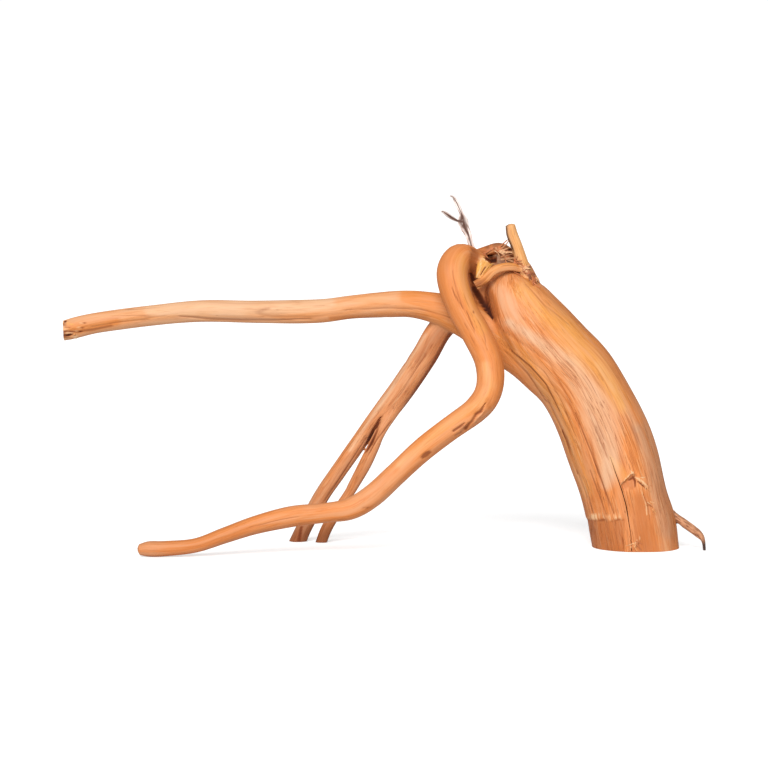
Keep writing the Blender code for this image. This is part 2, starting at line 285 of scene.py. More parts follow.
def linear(colour: str) -> tuple[float, float, float, float]:
    """Turns an sRGB hex colour to the linear one that a shader takes.

    Args:
        colour: six hex digits after a hash.

    Returns:
        Red, green, blue and an alpha of 1.
    """
    parts = [int(colour[i : i + 2], 16) / 255 for i in (1, 3, 5)]
    red, green, blue = (v / 12.92 if v <= 0.04045 else ((v + 0.055) / 1.055) ** 2.4 for v in parts)
    return (red, green, blue, 1.0)


def add(
    tree: bpy.types.NodeTree, kind: str, inputs: dict[Any, Any] | None = None, **settings: Any
) -> bpy.types.Node:
    """Adds a node with its settings, values and links.

    Args:
        tree: the tree that gets the node.
        kind: the node's type name.
        inputs: a value or another node's output for each named or numbered input.
        settings: the node's properties. `stops` gives a colour ramp its places and colours.

    Returns:
        The new node.
    """
    made = tree.nodes.new(kind)
    stops = settings.pop("stops", None)
    for name, value in settings.items():
        setattr(made, name, value)
    if stops:
        while len(made.color_ramp.elements) < len(stops):
            made.color_ramp.elements.new(0.5)
        for element, (place, colour) in zip(made.color_ramp.elements, stops):
            element.position = place
            element.color = colour
    for name, value in (inputs or {}).items():
        if isinstance(value, bpy.types.NodeSocket):
            tree.links.new(value, made.inputs[name])
        else:
            made.inputs[name].default_value = value
    return made


def blank(name: str) -> tuple[bpy.types.Material, bpy.types.NodeTree]:
    """A new material and its nodes."""
    material = bpy.data.materials.new(name)
    material.use_nodes = True
    return material, material.node_tree


def dressed(tree: bpy.types.NodeTree, colour: Any, height: Any, bump: tuple[float, float]) -> bpy.types.Node:
    """Links a colour and a bump to a material's shader.

    Args:
        tree: the material's nodes.
        colour: the colour's socket.
        height: the socket that says how high the skin is.
        bump: the bump's strength, and its height in metres.

    Returns:
        The shader.
    """
    shader = tree.nodes["Principled BSDF"]
    made = add(tree, "ShaderNodeBump", {"Strength": bump[0], "Distance": bump[1], "Height": height})
    tree.links.new(colour, shader.inputs["Base Color"])
    tree.links.new(made.outputs[0], shader.inputs["Normal"])
    return shader


def seen_by_camera(tree: bpy.types.NodeTree, others: Any, camera: Any) -> bpy.types.NodeSocket:
    """Mixes two shaders: the one that all other rays meet, and the one that the camera sees."""
    ray = add(tree, "ShaderNodeLightPath").outputs["Is Camera Ray"]
    return add(tree, "ShaderNodeMixShader", {0: ray, 1: others, 2: camera}).outputs[0]


def ease(value: Array, low: float, high: float) -> Array:
    """Rises smoothly from 0 at low to 1 at high, or falls where high is the smaller."""
    share = np.clip((value - low) / (high - low), 0, 1)
    return share * share * (3 - 2 * share)


def sketched(points: Array) -> Array:
    """Points' places on the front sketch, in steps right and down from its upper left corner.

    The sketch is drawn through the studio's lens, and is 768 steps wide and high.
    """
    away = points - np.array(VIEW_FROM)
    rise = math.radians(VIEW_RISE)
    ahead = away @ [0, math.cos(rise), -math.sin(rise)]
    up = away @ [0, math.sin(rise), math.cos(rise)]
    scale = SKETCH * VIEW_LENS / VIEW_SENSOR / ahead
    return np.column_stack([SKETCH / 2 + away[:, 0] * scale, SKETCH / 2 - up * scale])


def smooth_line(stations: tuple[Station, ...], step: float) -> tuple[Array, Array]:
    """Middle points and radii at even steps along a Catmull-Rom curve through the stations.

    Args:
        stations: x, y, z and half thickness in millimetres.
        step: distance between points.

    Returns:
        The points with their radii, and their distance along the curve.
    """
    knots = np.array(stations, float)
    knots = np.vstack([2 * knots[0] - knots[1], knots, 2 * knots[-1] - knots[-2]])
    fine = []
    for a, b, c, d in zip(knots, knots[1:], knots[2:], knots[3:]):
        for t in np.linspace(0, 1, 24, endpoint=False):
            square = (2 * a - 5 * b + 4 * c - d) * t**2
            cube = (3 * b - a - 3 * c + d) * t**3
            fine.append(0.5 * (2 * b + (c - a) * t + square + cube))
    fine.append(knots[-2])
    table = np.array(fine)
    along = np.concatenate([[0], np.cumsum(np.linalg.norm(np.diff(table[:, :3], axis=0), axis=1))])
    at = np.linspace(0, along[-1], max(3, round(along[-1] / step) + 1))
    return np.column_stack([np.interp(at, along, column) for column in table.T]), at


def frames(points: Array) -> tuple[Array, Array, Array]:
    """Tangent, front and side directions at each point, carried along without twist.

    Front starts towards -Y.
    """
    tangents = np.gradient(points, axis=0)
    tangents /= np.linalg.norm(tangents, axis=1)[:, None]
    front = np.array([0.0, -1.0, 0.0])
    fronts = []
    for tangent in tangents:
        front = front - tangent * (front @ tangent)
        front /= np.linalg.norm(front)
        fronts.append(front)
    carried = np.array(fronts)
    return tangents, carried, np.cross(tangents, carried)


class GrainNoise:
    """Smooth random values in space, the same in every run."""

    def __init__(self, seed: int) -> None:
        """Keeps the seed that sets one noise apart from another."""
        self.seed = seed

    def _corner(self, cell: Array) -> Array:
        """A value from 0 to 1 for each whole-numbered corner."""
        i, j, k = cell.astype(np.int64).astype(np.uint64).T
        mixed = i * np.uint64(374761393) + j * np.uint64(668265263) + k * np.uint64(2147483647)
        mixed = mixed + np.uint64(self.seed * 974634777 + 12345)
        mixed = (mixed ^ (mixed >> np.uint64(13))) * np.uint64(1274126177)
        mixed = (mixed ^ (mixed >> np.uint64(16))) * np.uint64(2246822519)
        mixed ^= mixed >> np.uint64(15)
        return (mixed & np.uint64(0xFFFFFF)).astype(float) / 0xFFFFFF

    def at(self, points: Array) -> Array:
        """The value from 0 to 1 at each point, whose cells are one unit wide."""
        base = np.floor(points)
        share = points - base
        share = share * share * (3 - 2 * share)
        total = np.zeros(len(points))
        for corner in np.ndindex(2, 2, 2):
            weight = np.prod(np.where(corner, share, 1 - share), axis=1)
            total += weight * self._corner(base + corner)
        return total


@dataclass
class Found:
    """Where points lie on a limb.

    The gap to its skin, the distance along it, the turn round it, the outward direction, how far past its
    ends, the distance from its middle, and the place in its straightened grain.
    """

    gap: Array
    along: Array
    turn: Array
    out: Array
    beyond: Array
    span: Array
    grain: Array


class Spine:
    """A limb's middle line, the direction of its front and the swelling of its section."""

    STEP = 1.0
    REACH = 14.0

    def __init__(self, limb: Limb) -> None:
        """Works out the limb's line and lobes, by the same draws as the part's source."""
        rng = random.Random(f"{SEED}{limb.name}")
        self.limb = limb
        self.line, self.along = smooth_line(limb.stations, self.STEP)
        self.tangent, self.front, self.across = frames(self.line[:, :3])
        self.lobes = [
            (n, high * limb.uneven, turn * MM, rng.uniform(0, 2 * math.pi)) for n, high, turn in LOBES
        ]
        self.swell = [rng.uniform(0, 2 * math.pi) for _ in range(2)]
        self.size = float(np.median(self.line[:, 3]))
        self.axis = Spine(replace(limb, stations=limb.grain_line, grain_line=())) if limb.grain_line else None

    @property
    def length(self) -> float:
        """The limb's length along its middle."""
        return float(self.along[-1])

    def reach(self, along: Array, turn: Array) -> Array:
        """Half thickness at a distance along and a turn round the limb."""
        radius = np.interp(along, self.along, self.line[:, 3])
        wave = sum(high * np.cos(n * turn + twist * along + phase) for n, high, twist, phase in self.lobes)
        waves = np.sin(along / 9 + self.swell[0]) + np.sin(along / 23 + self.swell[1])
        bump = 0.012 * self.limb.uneven * waves
        return radius * (1 + wave + bump)

    def at(self, along: Array) -> tuple[Array, Array, Array, Array]:
        """Middle, tangent, front and side at each distance along."""
        tables = (self.line[:, :3], self.tangent, self.front, self.across)
        middle, *ways = (
            np.column_stack([np.interp(along, self.along, c) for c in table.T]) for table in tables
        )
        tangent, front, across = (way / np.linalg.norm(way, axis=1)[:, None] for way in ways)
        return middle, tangent, front, across

    def surface(self, along: Array, turn: Array) -> Array:
        """The skin's points for every distance and every turn, as rings."""
        middle, _, front, across = self.at(along)
        reach = self.reach(along[:, None], turn[None, :])
        rings = middle[:, None] + (reach * self.limb.depth * np.cos(turn))[..., None] * front[:, None]
        return rings + (reach * np.sin(turn))[..., None] * across[:, None]

    def find(self, points: Array) -> Found:
        """Where each point lies on this limb. Points far from it get a gap of FAR."""
        count = len(points)
        zeros = [np.zeros(count) for _ in range(4)]
        found = Found(np.full(count, FAR), *zeros[:2], np.zeros((count, 3)), *zeros[2:], np.zeros((count, 3)))
        margin = self.line[:, 3].max() * 1.15 + self.REACH
        low, high = self.line[:, :3].min(axis=0) - margin, self.line[:, :3].max(axis=0) + margin
        near = np.flatnonzero(((points > low) & (points < high)).all(axis=1))
        for part in np.array_split(near, max(1, len(near) // 20000)):
            if len(part):
                self._find_part(points[part], part, found)
        if self.axis:
            lain = self.axis.find(points)
            wide = 0.7 * self.size + 0.3 * lain.span
        else:
            lain, wide = found, self.size
        found.grain = np.column_stack([wide * np.cos(lain.turn), wide * np.sin(lain.turn), lain.along])
        return found

    def _find_part(self, points: Array, part: Array, found: Found) -> None:
        """Fills in one batch of points."""
        centres = self.line[:, :3]
        apart = (centres**2).sum(axis=1)[None] - 2 * points @ centres.T
        nearest = apart.argmin(axis=1)
        step = ((points - centres[nearest]) * self.tangent[nearest]).sum(axis=1)
        along = self.along[nearest] + step
        beyond = np.maximum(np.maximum(-along, along - self.length), 0)
        along = np.clip(along, 0, self.length)
        middle, tangent, front, across = self.at(along)
        away = points - middle
        away -= (away * tangent).sum(axis=1)[:, None] * tangent
        towards_front = (away * front).sum(axis=1) / self.limb.depth
        towards_side = (away * across).sum(axis=1)
        span = np.hypot(towards_front, towards_side) + 1e-9
        turn = np.arctan2(towards_side, towards_front)
        scale = np.linalg.norm(away, axis=1) / span
        gap = (span - self.reach(along, turn)) * scale
        out = (towards_front / self.limb.depth)[:, None] * front + towards_side[:, None] * across
        out /= np.linalg.norm(out, axis=1)[:, None] + 1e-9
        past = beyond > 0
        gap[past] = np.hypot(np.maximum(gap[past], 0), beyond[past])
        found.gap[part], found.along[part], found.turn[part] = gap, along, turn
        found.out[part], found.beyond[part], found.span[part] = out, beyond, span

    def fillet(self, along: Array) -> Array:
        """How widely this limb's skin runs into its neighbour's, at a distance along it."""
        from_joint = self.length - along if self.limb.joins_at_end else along
        return 0.35 + (self.limb.fillet - 0.35) * np.exp(-((from_joint / self.limb.holds) ** 2))


def mesh_object(name: str, points: Array, faces: list[tuple[int, ...]]) -> bpy.types.Object:
    """An object in the scene, from points in millimetres and faces that already point outwards."""
    data = bpy.data.meshes.new(name)
    data.from_pydata((points * MM).tolist(), [], faces)
    data.update()
    made = bpy.data.objects.new(name, data)
    bpy.context.scene.collection.objects.link(made)
    return made


def tube_faces(rings: int, columns: int, first: int = 0) -> list[tuple[int, ...]]:
    """Faces of a closed tube whose rings come one after another, with a hub point before and after them.

    Args:
        rings: how many rings.
        columns: how many points a ring has.
        first: number of the tube's first point, the hub at its start.

    Returns:
        Four-sided faces along the tube and a fan at each end.
    """
    ring = np.arange(rings * columns).reshape(rings, columns) + first + 1
    after = np.roll(ring, -1, axis=1)
    quads = np.stack([ring[:-1], after[:-1], after[1:], ring[1:]], axis=-1).reshape(-1, 4)
    last = first + 1 + rings * columns
    opening = [(int(b), int(a), first) for a, b in zip(ring[0], after[0])]
    closing = [(int(a), int(b), last) for a, b in zip(ring[-1], after[-1])]
    return [tuple(quad) for quad in quads.tolist()] + opening + closing


def closed_tube(name: str, rings: Array, start: Array, end: Array) -> bpy.types.Object:
    """A closed tube from its rings and the hub points before and after them."""
    points = np.vstack([start, rings.reshape(-1, 3), end])
    return mesh_object(name, points, tube_faces(*rings.shape[:2]))


def only(piece: bpy.types.Object) -> None:
    """Selects one object and makes it the active one."""
    bpy.ops.object.select_all(action="DESELECT")
    piece.select_set(True)
    bpy.context.view_layer.objects.active = piece


def join_solid(target: bpy.types.Object, other: bpy.types.Object) -> None:
    """Joins another closed mesh to the target by a Boolean, and removes it."""
    only(target)
    modifier = target.modifiers.new("Join", "BOOLEAN")
    modifier.operation = "UNION"
    modifier.solver = "MANIFOLD"
    modifier.object = other
    bpy.ops.object.modifier_apply(modifier=modifier.name)
    bpy.data.objects.remove(other, do_unlink=True)


def saw_flat(piece: bpy.types.Object) -> None:
    """Saws the piece level with the ground and closes the cut."""
    only(piece)
    bpy.ops.object.mode_set(mode="EDIT")
    bpy.ops.mesh.select_all(action="SELECT")
    bpy.ops.mesh.bisect(
        plane_co=(0, 0, 0), plane_no=(0, 0, 1), use_fill=True, clear_inner=True, threshold=1e-6
    )
    bpy.ops.mesh.select_all(action="DESELECT")
    bpy.ops.object.mode_set(mode="OBJECT")


def smooth_shade(piece: bpy.types.Object, degrees: float = 50.0) -> None:
    """Shades the piece smooth, apart from edges sharper than the angle."""
    only(piece)
    bpy.ops.object.shade_smooth_by_angle(angle=math.radians(degrees))


def write(piece: bpy.types.Object, name: str, values: Array) -> None:
    """Stores a value or a vector for each point of the piece, for its material to read."""
    kind = "FLOAT" if values.ndim == 1 else "FLOAT_VECTOR"
    stored = piece.data.attributes.new(name, kind, "POINT")
    stored.data.foreach_set("value" if values.ndim == 1 else "vector", values.astype(np.float32).ravel())


def points_of(piece: bpy.types.Object) -> Array:
    """The piece's points in millimetres."""
    flat = np.empty(len(piece.data.vertices) * 3, np.float32)
    piece.data.vertices.foreach_get("co", flat)
    return flat.reshape(-1, 3).astype(float) / MM


def move_points(piece: bpy.types.Object, points: Array) -> None:
    """Puts the piece's points where they are given, in millimetres."""
    piece.data.vertices.foreach_set("co", (points * MM).astype(np.float32).ravel())
    piece.data.update()


def put_on(piece: bpy.types.Object, *materials: bpy.types.Material) -> None:
    """Gives the piece its materials, ties it to the body, and hides the solid that it stands for."""
    piece.data.materials.clear()
    for material in materials:
        piece.data.materials.append(material)
    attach(piece, BODY)
    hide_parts(NODE)
    LOG.info("%s: %d triangles", piece.name, sum(len(p.vertices) - 2 for p in piece.data.polygons))


@dataclass(frozen=True)
class Mark:
    """A groove, ridge or patch along a line on the front of some limbs.

    Each of its points is a place on the front sketch and a half width in millimetres. The height is carved,
    and the rest are its colours' strengths; some marks paint shade, shadow or highlight into the colour.
    """

    points: tuple[tuple[float, float, float], ...]
    height: float = 0.0
    crack_and_shade: float = 0.0
    torn: float = 0.0
    warmth: float = 0.0
    shade: float = 0.0
    straw: float = 0.0
    smooth: float = 0.0
    core: float = 0.15
    behind: float = -FAR
    limbs: tuple[str, ...] = ("trunk",)

    def share(self, sketch: Array, y: Array) -> Array:
        """How strongly the mark acts at each place, from 0 to 1, fading at its sides and ends."""
        right, down = sketch.T
        line = np.array(self.points, float)
        best = np.zeros(len(right))
        for start, end in zip(line, line[1:]):
            length = math.hypot(*(end - start)[:2])
            way = (end - start)[:2] / length
            step = (right - start[0]) * way[0] + (down - start[1]) * way[1]
            place = np.clip(step, 0, length)
            off = np.hypot(right - start[0] - place * way[0], down - start[1] - place * way[1])
            half = (start[2] + (end[2] - start[2]) * place / length) * STEPS_A_MM
            best = np.maximum(best, ease(off / np.maximum(half, 0.05), 1.0, self.core))
        return best * (y > self.behind)


def on(limbs: tuple[str, ...], *marks: Mark) -> tuple[Mark, ...]:
    """The marks, put on these limbs."""
    return tuple(replace(mark, limbs=limbs) for mark in marks)


TRUNK_ONLY, LEVEL_ONLY = ("trunk",), ("level_branch",)
FRONT_ONLY, BACK_ONLY = ("front_root",), ("back_branch",)
ELBOW = ("front_root", "bark_edge")
HOLLOW_SHADE_LIMBS = ("trunk", "level_branch", "crown_back", "web", "strap")
MARKS = (
    # Trunk: the pale front band, with the orange flank left of it and straw wood right of it; a painted
    # highlight on the shoulder and painted shade down the right side.
    *on(
        TRUNK_ONLY,
        Mark(
            (
                (508, 322, 4), (540, 343, 7), (570, 364, 11), (592, 396, 14), (606, 430, 16),
                (610, 456, 13), (606, 484, 7),
            ),
            warmth=-0.75, core=0.1,
        ),
        # A smooth pale patch on the shoulder: painted highlight.
        Mark(((490, 284, 6), (502, 298, 9), (514, 318, 5)), warmth=-0.4, smooth=0.8, core=0.1),
        Mark(
            ((524, 290, 10), (565, 330, 15), (602, 370, 11), (622, 405, 8)),
            warmth=-0.1, straw=0.42, smooth=0.35, core=0.1,
        ),
        # Down the right side: a duller pinkish tan, darkened by painted shade where the trunk turns from the
        # light.
        Mark(((640, 430, 7), (655, 470, 8), (668, 530, 9)), warmth=-0.4, shade=0.2, core=0.1),
        Mark(((640, 500, 9), (644, 530, 11), (648, 555, 12)), warmth=0.3, shade=0.3, smooth=0.6, core=0.1),
        Mark(((598, 365, 4), (618, 395, 4), (636, 430, 3)), warmth=-0.3, core=0.1),
        # Trunk: grooves down its left flank, from the hollow to the saw line.
        Mark(
            ((500, 338, 8), (530, 366, 10), (552, 398, 10), (568, 440, 9), (584, 490, 8)),
            warmth=-0.1, straw=0.3, core=0.1,
        ),
        # Painted shadow of the front root on the trunk, along the root's right edge.
        Mark(((494, 322, 3), (505, 338, 3), (513, 350, 2)), warmth=0.3, shade=0.3, core=0.1),
        Mark(
            ((496, 326, 0.8), (526, 346, 1.0), (550, 364, 1.1), (566, 395, 1.0), (580, 430, 0.7)),
            -0.45, 0.22,
        ),
        Mark(((503, 344, 0.8), (530, 366, 1.0), (546, 384, 0.9), (560, 412, 0.6)), -0.5, 0.42),
        Mark(((504, 350, 0.9), (528, 374, 1.0), (548, 404, 0.6)), -0.5, 0.45),
        Mark(((512, 350, 1.6), (540, 374, 2.0), (556, 400, 1.8), (568, 426, 1.2)), 0.4, warmth=0.2),
        Mark(((520, 352, 0.4), (545, 372, 0.6), (562, 402, 0.6), (575, 436, 0.4)), -0.25, 0.3),
        Mark(((548, 400, 0.8), (567, 440, 1.1), (578, 474, 0.7)), -0.5, 0.4),
        Mark(((575, 412, 0.7), (593, 457, 1.0), (606, 493, 0.9), (614, 514, 0.6)), -0.4, 0.4),
        Mark(((562, 430, 0.6), (578, 472, 0.8), (594, 515, 0.5)), -0.35, 0.3),
        Mark(((588, 410, 0.6), (600, 440, 0.8), (609, 460, 0.5)), -0.3, 0.3),
        Mark(((582, 390, 0.5), (596, 420, 0.7), (604, 440, 0.5)), -0.25, 0.25),
        Mark(((590, 470, 0.6), (601, 500, 0.7), (606, 514, 0.5)), -0.3, 0.35),
        Mark(((563, 358, 0.5), (580, 378, 0.7), (592, 402, 0.5)), -0.2, 0.2),
        Mark(((606, 384, 0.5), (618, 410, 0.7), (626, 440, 0.5)), -0.2, 0.2),
        # Trunk: lines under the collar, and the thin torn line right of the smooth patch.
        Mark(((526, 284, 0.6), (545, 305, 0.9), (570, 325, 0.6)), -0.3, 0.22),
        Mark(((535, 284, 0.6), (560, 305, 0.8), (592, 335, 0.5)), -0.25, 0.18),
        Mark(((641, 490, 0.3), (646, 505, 0.7), (647, 515, 0.5)), 0.3, torn=0.6),
        Mark(((643, 494, 0.3), (648, 506, 0.6), (650, 520, 0.3)), -0.3, 0.3),
        Mark(((628, 551, 0.4), (634, 545, 0.7), (640, 538, 0.4)), 0.4, torn=0.5),
        Mark(((633, 551, 0.3), (637, 546, 0.5), (640, 541, 0.3)), -0.3, 0.35),
        # The scar's smooth pale tongue, the warm hollow under its lip in painted shade, and the lifted flake
        # right of them with a painted shadow line under it.
        Mark(
            ((611, 458, 2.0), (618, 468, 4.2), (624, 476, 4.6)),
            warmth=-0.15, straw=0.25, smooth=0.7, core=0.3,
        ),
        # Painted shade in the hollow under the tongue's lip.
        Mark(
            ((625.5, 486, 3.0), (631, 482, 3.6), (631.5, 487, 3.0)),
            warmth=0.8, shade=0.3, smooth=0.9, core=0.3,
        ),
        Mark(((629, 480, 0.8), (633, 477.5, 1.6), (635, 481, 1.2), (635, 487, 0.5)), crack_and_shade=0.55, core=0.2),
        Mark(
            ((621.5, 484, 0.3), (626, 478.5, 0.6), (631.5, 473.5, 0.8), (634, 471.5, 0.3)),
            torn=0.7, core=0.2,
        ),
        Mark(((631, 471, 0.5), (634, 475, 0.6)), 0.5, torn=0.8, core=0.3),
        Mark(((635.5, 477.5, 0.5), (641, 480.5, 0.9), (648, 487, 0.5)), 0.6, torn=0.8, core=0.4),
        # Painted shadow line under the lifted flake, also carved.
        Mark(((637.5, 481.5, 0.4), (641, 484, 0.7), (646, 488.5, 0.4)), -0.7, 0.6, core=0.3),
        Mark(((627, 455, 0.3), (632, 464, 0.5), (635, 474, 0.3)), -0.3, 0.35),
        Mark(((596, 430, 5), (606, 447, 7)), shade=0.1, core=0.1),
        Mark(((594.5, 521, 0.3), (595.5, 535, 0.4), (597, 549, 0.3)), -0.2, 0.28, core=0.2),
        Mark(((600, 524, 0.3), (601, 534, 0.4), (602.5, 546, 0.3)), -0.2, 0.3, core=0.2),
        Mark(((606.5, 520, 0.3), (608, 532, 0.5), (609, 543, 0.3)), -0.3, 0.35, core=0.2),
        Mark(((614, 521, 0.3), (615, 531, 0.4), (616.5, 540, 0.3)), -0.2, 0.3, core=0.2),
        Mark(((621, 523, 0.3), (622, 533, 0.4), (623, 549, 0.3)), -0.2, 0.25, core=0.2),
        # Painted contact shadow along the foot's lower edge.
        Mark(((596, 551, 1.4), (606, 552, 1.1), (620, 552.5, 0.8)), shade=0.4, core=0.1),
    ),
    # Painted shade in the hollow between the hook and the trunk, on the hook's inner face and in the hole
    # under the collar; all three are carved too.
    *on(
        HOLLOW_SHADE_LIMBS,
        Mark(((479, 291, 3.0), (483, 300, 3.6), (488, 310, 2.4), (492.5, 318, 0.8)), -2.0, 1.0, core=0.6),
        Mark(((478, 286, 8), (485, 300, 7), (494, 318, 3)), warmth=0.4, shade=0.6, core=0.2),
        Mark(((486, 284, 3), (494, 300, 3), (498, 316, 2)), warmth=0.5, shade=0.35, smooth=0.5, core=0.1),
    ),
    # Painted shade on the hook's inner face, which is also carved.
    *on(
        FRONT_ONLY,
        Mark(
            ((474, 250, 2.5), (475.5, 262, 4.4), (476.5, 274, 4.6), (475, 286, 3)),
            -0.8, warmth=0.3, shade=0.7, core=0.65,
        ),
    ),
    # Painted shade at the dark foot of the hook's inner face.
    *on(
        ("front_root", "web", "trunk"),
        Mark(((471, 274, 1.2), (473.5, 281, 2.0)), -0.4, 0.8, core=0.5),
    ),
    *on(
        FRONT_ONLY,
        Mark(((460, 258, 5), (462, 280, 5), (472, 306, 5), (482, 330, 5)), straw=0.32, core=0.2),
        Mark(((445, 262, 4), (441, 285, 4), (448, 310, 4)), shade=0.1, core=0.2),
        Mark(((452, 268, 0.4), (456, 290, 0.6), (466, 312, 0.4)), -0.2, 0.3, core=0.2),
        Mark(((461, 288, 0.3), (468, 305, 0.5), (478, 330, 0.3)), -0.2, 0.28, core=0.2),
        Mark(((462, 318, 0.3), (470, 334, 0.5), (478, 352, 0.3)), -0.2, 0.3, core=0.2),
        # Painted shade on the hook's back run, seen through the hollow.
        Mark(((474, 288, 2.4), (480, 298, 3), (487, 312, 2.4)), crack_and_shade=0.8, core=0.3, behind=-14.0),
    ),
    # Painted shade in the hole under the collar, which is also carved.
    *on(
        ("crown_back", "collar", "web", "trunk"),
        Mark(((487.5, 258, 1.9), (491, 259, 2.7), (494, 260, 2.2)), -3.0, 1.0, core=0.7),
    ),
    *on(
        ("crown_back", "collar"),
        Mark(((497.5, 254, 1.4), (498.5, 263, 1.4)), 0.6, warmth=-0.6, shade=-0.3, core=0.4),
    ),
    *on(
        ("web",),
        Mark(((478.5, 257, 0.7), (486, 260, 0.8), (493.5, 264, 0.7)), 0.5, torn=0.8, core=0.3),
        Mark(((480.5, 259, 0.6), (481, 268, 0.6), (477, 276, 0.6)), 0.5, torn=0.7, core=0.3),
        Mark(((486.5, 264, 0.4), (484, 269, 0.6), (480.5, 275, 0.4)), -0.5, 0.7, core=0.3),
        Mark(((490.5, 266, 0.4), (488, 270, 0.5), (485.5, 274, 0.4)), -0.4, 0.5, core=0.3),
    ),
    *on(
        ("crown_back", "collar", "trunk", "stub"),
        Mark(((509, 246, 1.6), (511, 251, 2.0), (511, 256, 1.4)), -0.8, 0.75, core=0.4),
    ),
    # Painted shadow line under the strap, where it stands off the wood.
    *on(
        ("trunk", "collar", "crown_back", "strap"),
        Mark(((500, 272.5, 0.5), (512, 272.5, 0.7), (524, 276.5, 0.7), (531, 280, 0.4)), -0.2, 0.22),
    ),
    *on(
        ("strap",),
        Mark(((472.5, 281.5, 1.0), (475, 288.5, 1.0)), warmth=-0.9, core=0.5),
    ),
    *on(
        ("trunk", "collar"),
        Mark(((505, 266, 5), (520, 268, 5), (530, 276, 3)), warmth=0.4, shade=0.1, core=0.2),
    ),
    *on(
        FRONT_ONLY,
        Mark(((445, 250, 6), (440, 275, 7), (448, 300, 7), (463, 330, 6)), shade=0.06, smooth=0.4, core=0.2),
    ),
    # The trunk's end above the level branch, plain orange under the collar.
    *on(
        TRUNK_ONLY,
        Mark(((534, 288, 6), (545, 300, 6)), warmth=0.2, core=0.2),
    ),
    # Level branch: the crease along its lower third, and fine lines.
    *on(
        LEVEL_ONLY,
        Mark(
            ((180, 316, 0.6), (210, 319, 1.0), (245, 320, 1.1), (280, 320, 0.9), (312, 319, 0.6)),
            -0.6, 0.36,
        ),
        Mark(((90, 327, 0.7), (120, 322, 0.9), (150, 319, 0.6)), -0.4, 0.25),
        Mark(((345, 310, 0.5), (385, 308, 0.8), (420, 309, 0.8), (452, 318, 0.6)), -0.4, 0.3),
        Mark(((405, 296, 5), (428, 300, 8), (450, 315, 7)), warmth=0.9, shade=0.08, smooth=0.4, core=0.1),
        # Painted shade along the branch's underside.
        Mark(((330, 318, 2), (380, 315, 3), (425, 318, 4)), warmth=0.3, shade=0.2, core=0.1),
        Mark(
            ((150, 310, 5), (200, 308, 7), (250, 308, 7), (300, 306, 6), (330, 304, 5)),
            warmth=-0.55, core=0.2,
        ),
        Mark(((66, 329, 6), (90, 326, 6), (115, 322, 5)), warmth=0.3, shade=0.1, core=0.2),
        # Level branch: the torn end, with its lifted edge and the dark crack under it.
        Mark(((82, 321, 0.6), (79, 328, 0.8), (75, 334, 0.8)), 0.5, torn=0.5),
        Mark(((85, 322, 0.5), (82, 329, 0.6), (79, 334, 0.6)), -0.4, 0.45),
        Mark(((66.5, 334.6, 0.5), (69.5, 335, 1.0), (73, 334.4, 0.6)), -1.0, 0.95),
        Mark(((64.8, 330.6, 0.6), (69, 331.5, 1.0), (74.5, 331.6, 0.8)), -0.6, 0.55),
        Mark(((65.5, 333, 0.5), (72, 333, 0.6)), 0.3, warmth=-0.9, core=0.3),
        Mark(((66, 327.4, 0.3), (69, 327.8, 0.5)), -0.3, 0.5),
        Mark(((64.5, 321, 0.5), (65.2, 322, 0.5)), -0.5, 0.9, core=0.5),
        Mark(((66.5, 322, 0.9), (71, 324.5, 0.8)), 0.3, straw=0.7, smooth=0.6, core=0.4),
        Mark(((74.6, 331, 0.8), (76.5, 335, 1.0), (75.5, 338.5, 0.7)), 0.5, torn=0.4, warmth=-0.9, core=0.4),
        Mark(
            ((77, 331.5, 1.2), (92, 329.5, 1.4), (112, 325.5, 1.0)),
            0.0, 0.25, warmth=0.4, shade=0.3, core=0.2,
        ),
    ),
    # Front root: fine cracks, the dot under the hook, and notches in its lower edge.
    *on(
        FRONT_ONLY,
        Mark(((451, 286, 0.6), (456, 297, 0.8), (463, 308, 0.6)), -0.35, 0.4),
        Mark(((467, 312, 0.6), (471, 322, 0.8), (475, 332, 0.5)), -0.35, 0.4),
        Mark(((477, 318, 0.5), (484, 334, 0.7), (487, 350, 0.4)), -0.25, 0.3),
        Mark(((473.6, 312.6, 0.75), (474.2, 313.4, 0.75)), -0.5, 0.9),
        Mark(((422, 457.5, 1.3), (426, 454.5, 2.2), (430, 451.8, 1.3)), -0.6, 0.3, shade=0.6, core=0.5),
        Mark(((364, 507.5, 0.8), (370, 508, 1.0)), -0.4, 0.2, shade=0.3),
        Mark(
            ((486, 365, 4), (490, 385, 5), (480, 402, 5), (440, 430, 5), (400, 465, 4)),
            warmth=-0.4, straw=0.25, core=0.1,
        ),
        Mark(((300, 516, 0.4), (275, 521, 0.6), (250, 527, 0.4)), -0.3, 0.3),
    ),
    # The torn rim under the elbow: two ragged dark lines, with pale pinkish skin between them and the edge.
    *on(
        ELBOW,
        Mark(((492, 410, 4), (484, 415, 4), (476, 421, 3)), warmth=-0.25, shade=0.08, core=0.1),
        Mark(((488, 400, 2.5), (489, 407, 2.0)), warmth=0.3, shade=0.2, core=0.1),
        Mark(((465, 427, 2.0), (461, 430, 1.6)), warmth=-0.2, shade=0.4, core=0.2),
        # Painted shadow under the pinkish flap.
        Mark(((461, 432, 1.0), (455, 435, 0.8)), shade=0.45, core=0.2),
        Mark(
            (
                (485.5, 403, 0.5), (483.2, 407, 0.9), (480.8, 411.2, 1.6), (476, 414.2, 1.5),
                (474.3, 417.5, 1.0), (472.5, 421, 1.0), (469, 424, 1.4), (465.8, 428.5, 1.7),
            ),
            -1.0, 0.52, warmth=0.3, core=0.1,
        ),
        Mark(((465, 423, 0.7), (459.8, 426.8, 1.3), (453.4, 431, 1.2)), -0.8, 0.5, warmth=0.3, core=0.1),
        Mark(((485, 409, 0.5), (482, 413.5, 0.8), (477.5, 418, 0.7), (475, 422, 0.5)), 0.5, torn=0.15),
    ),
    *on(
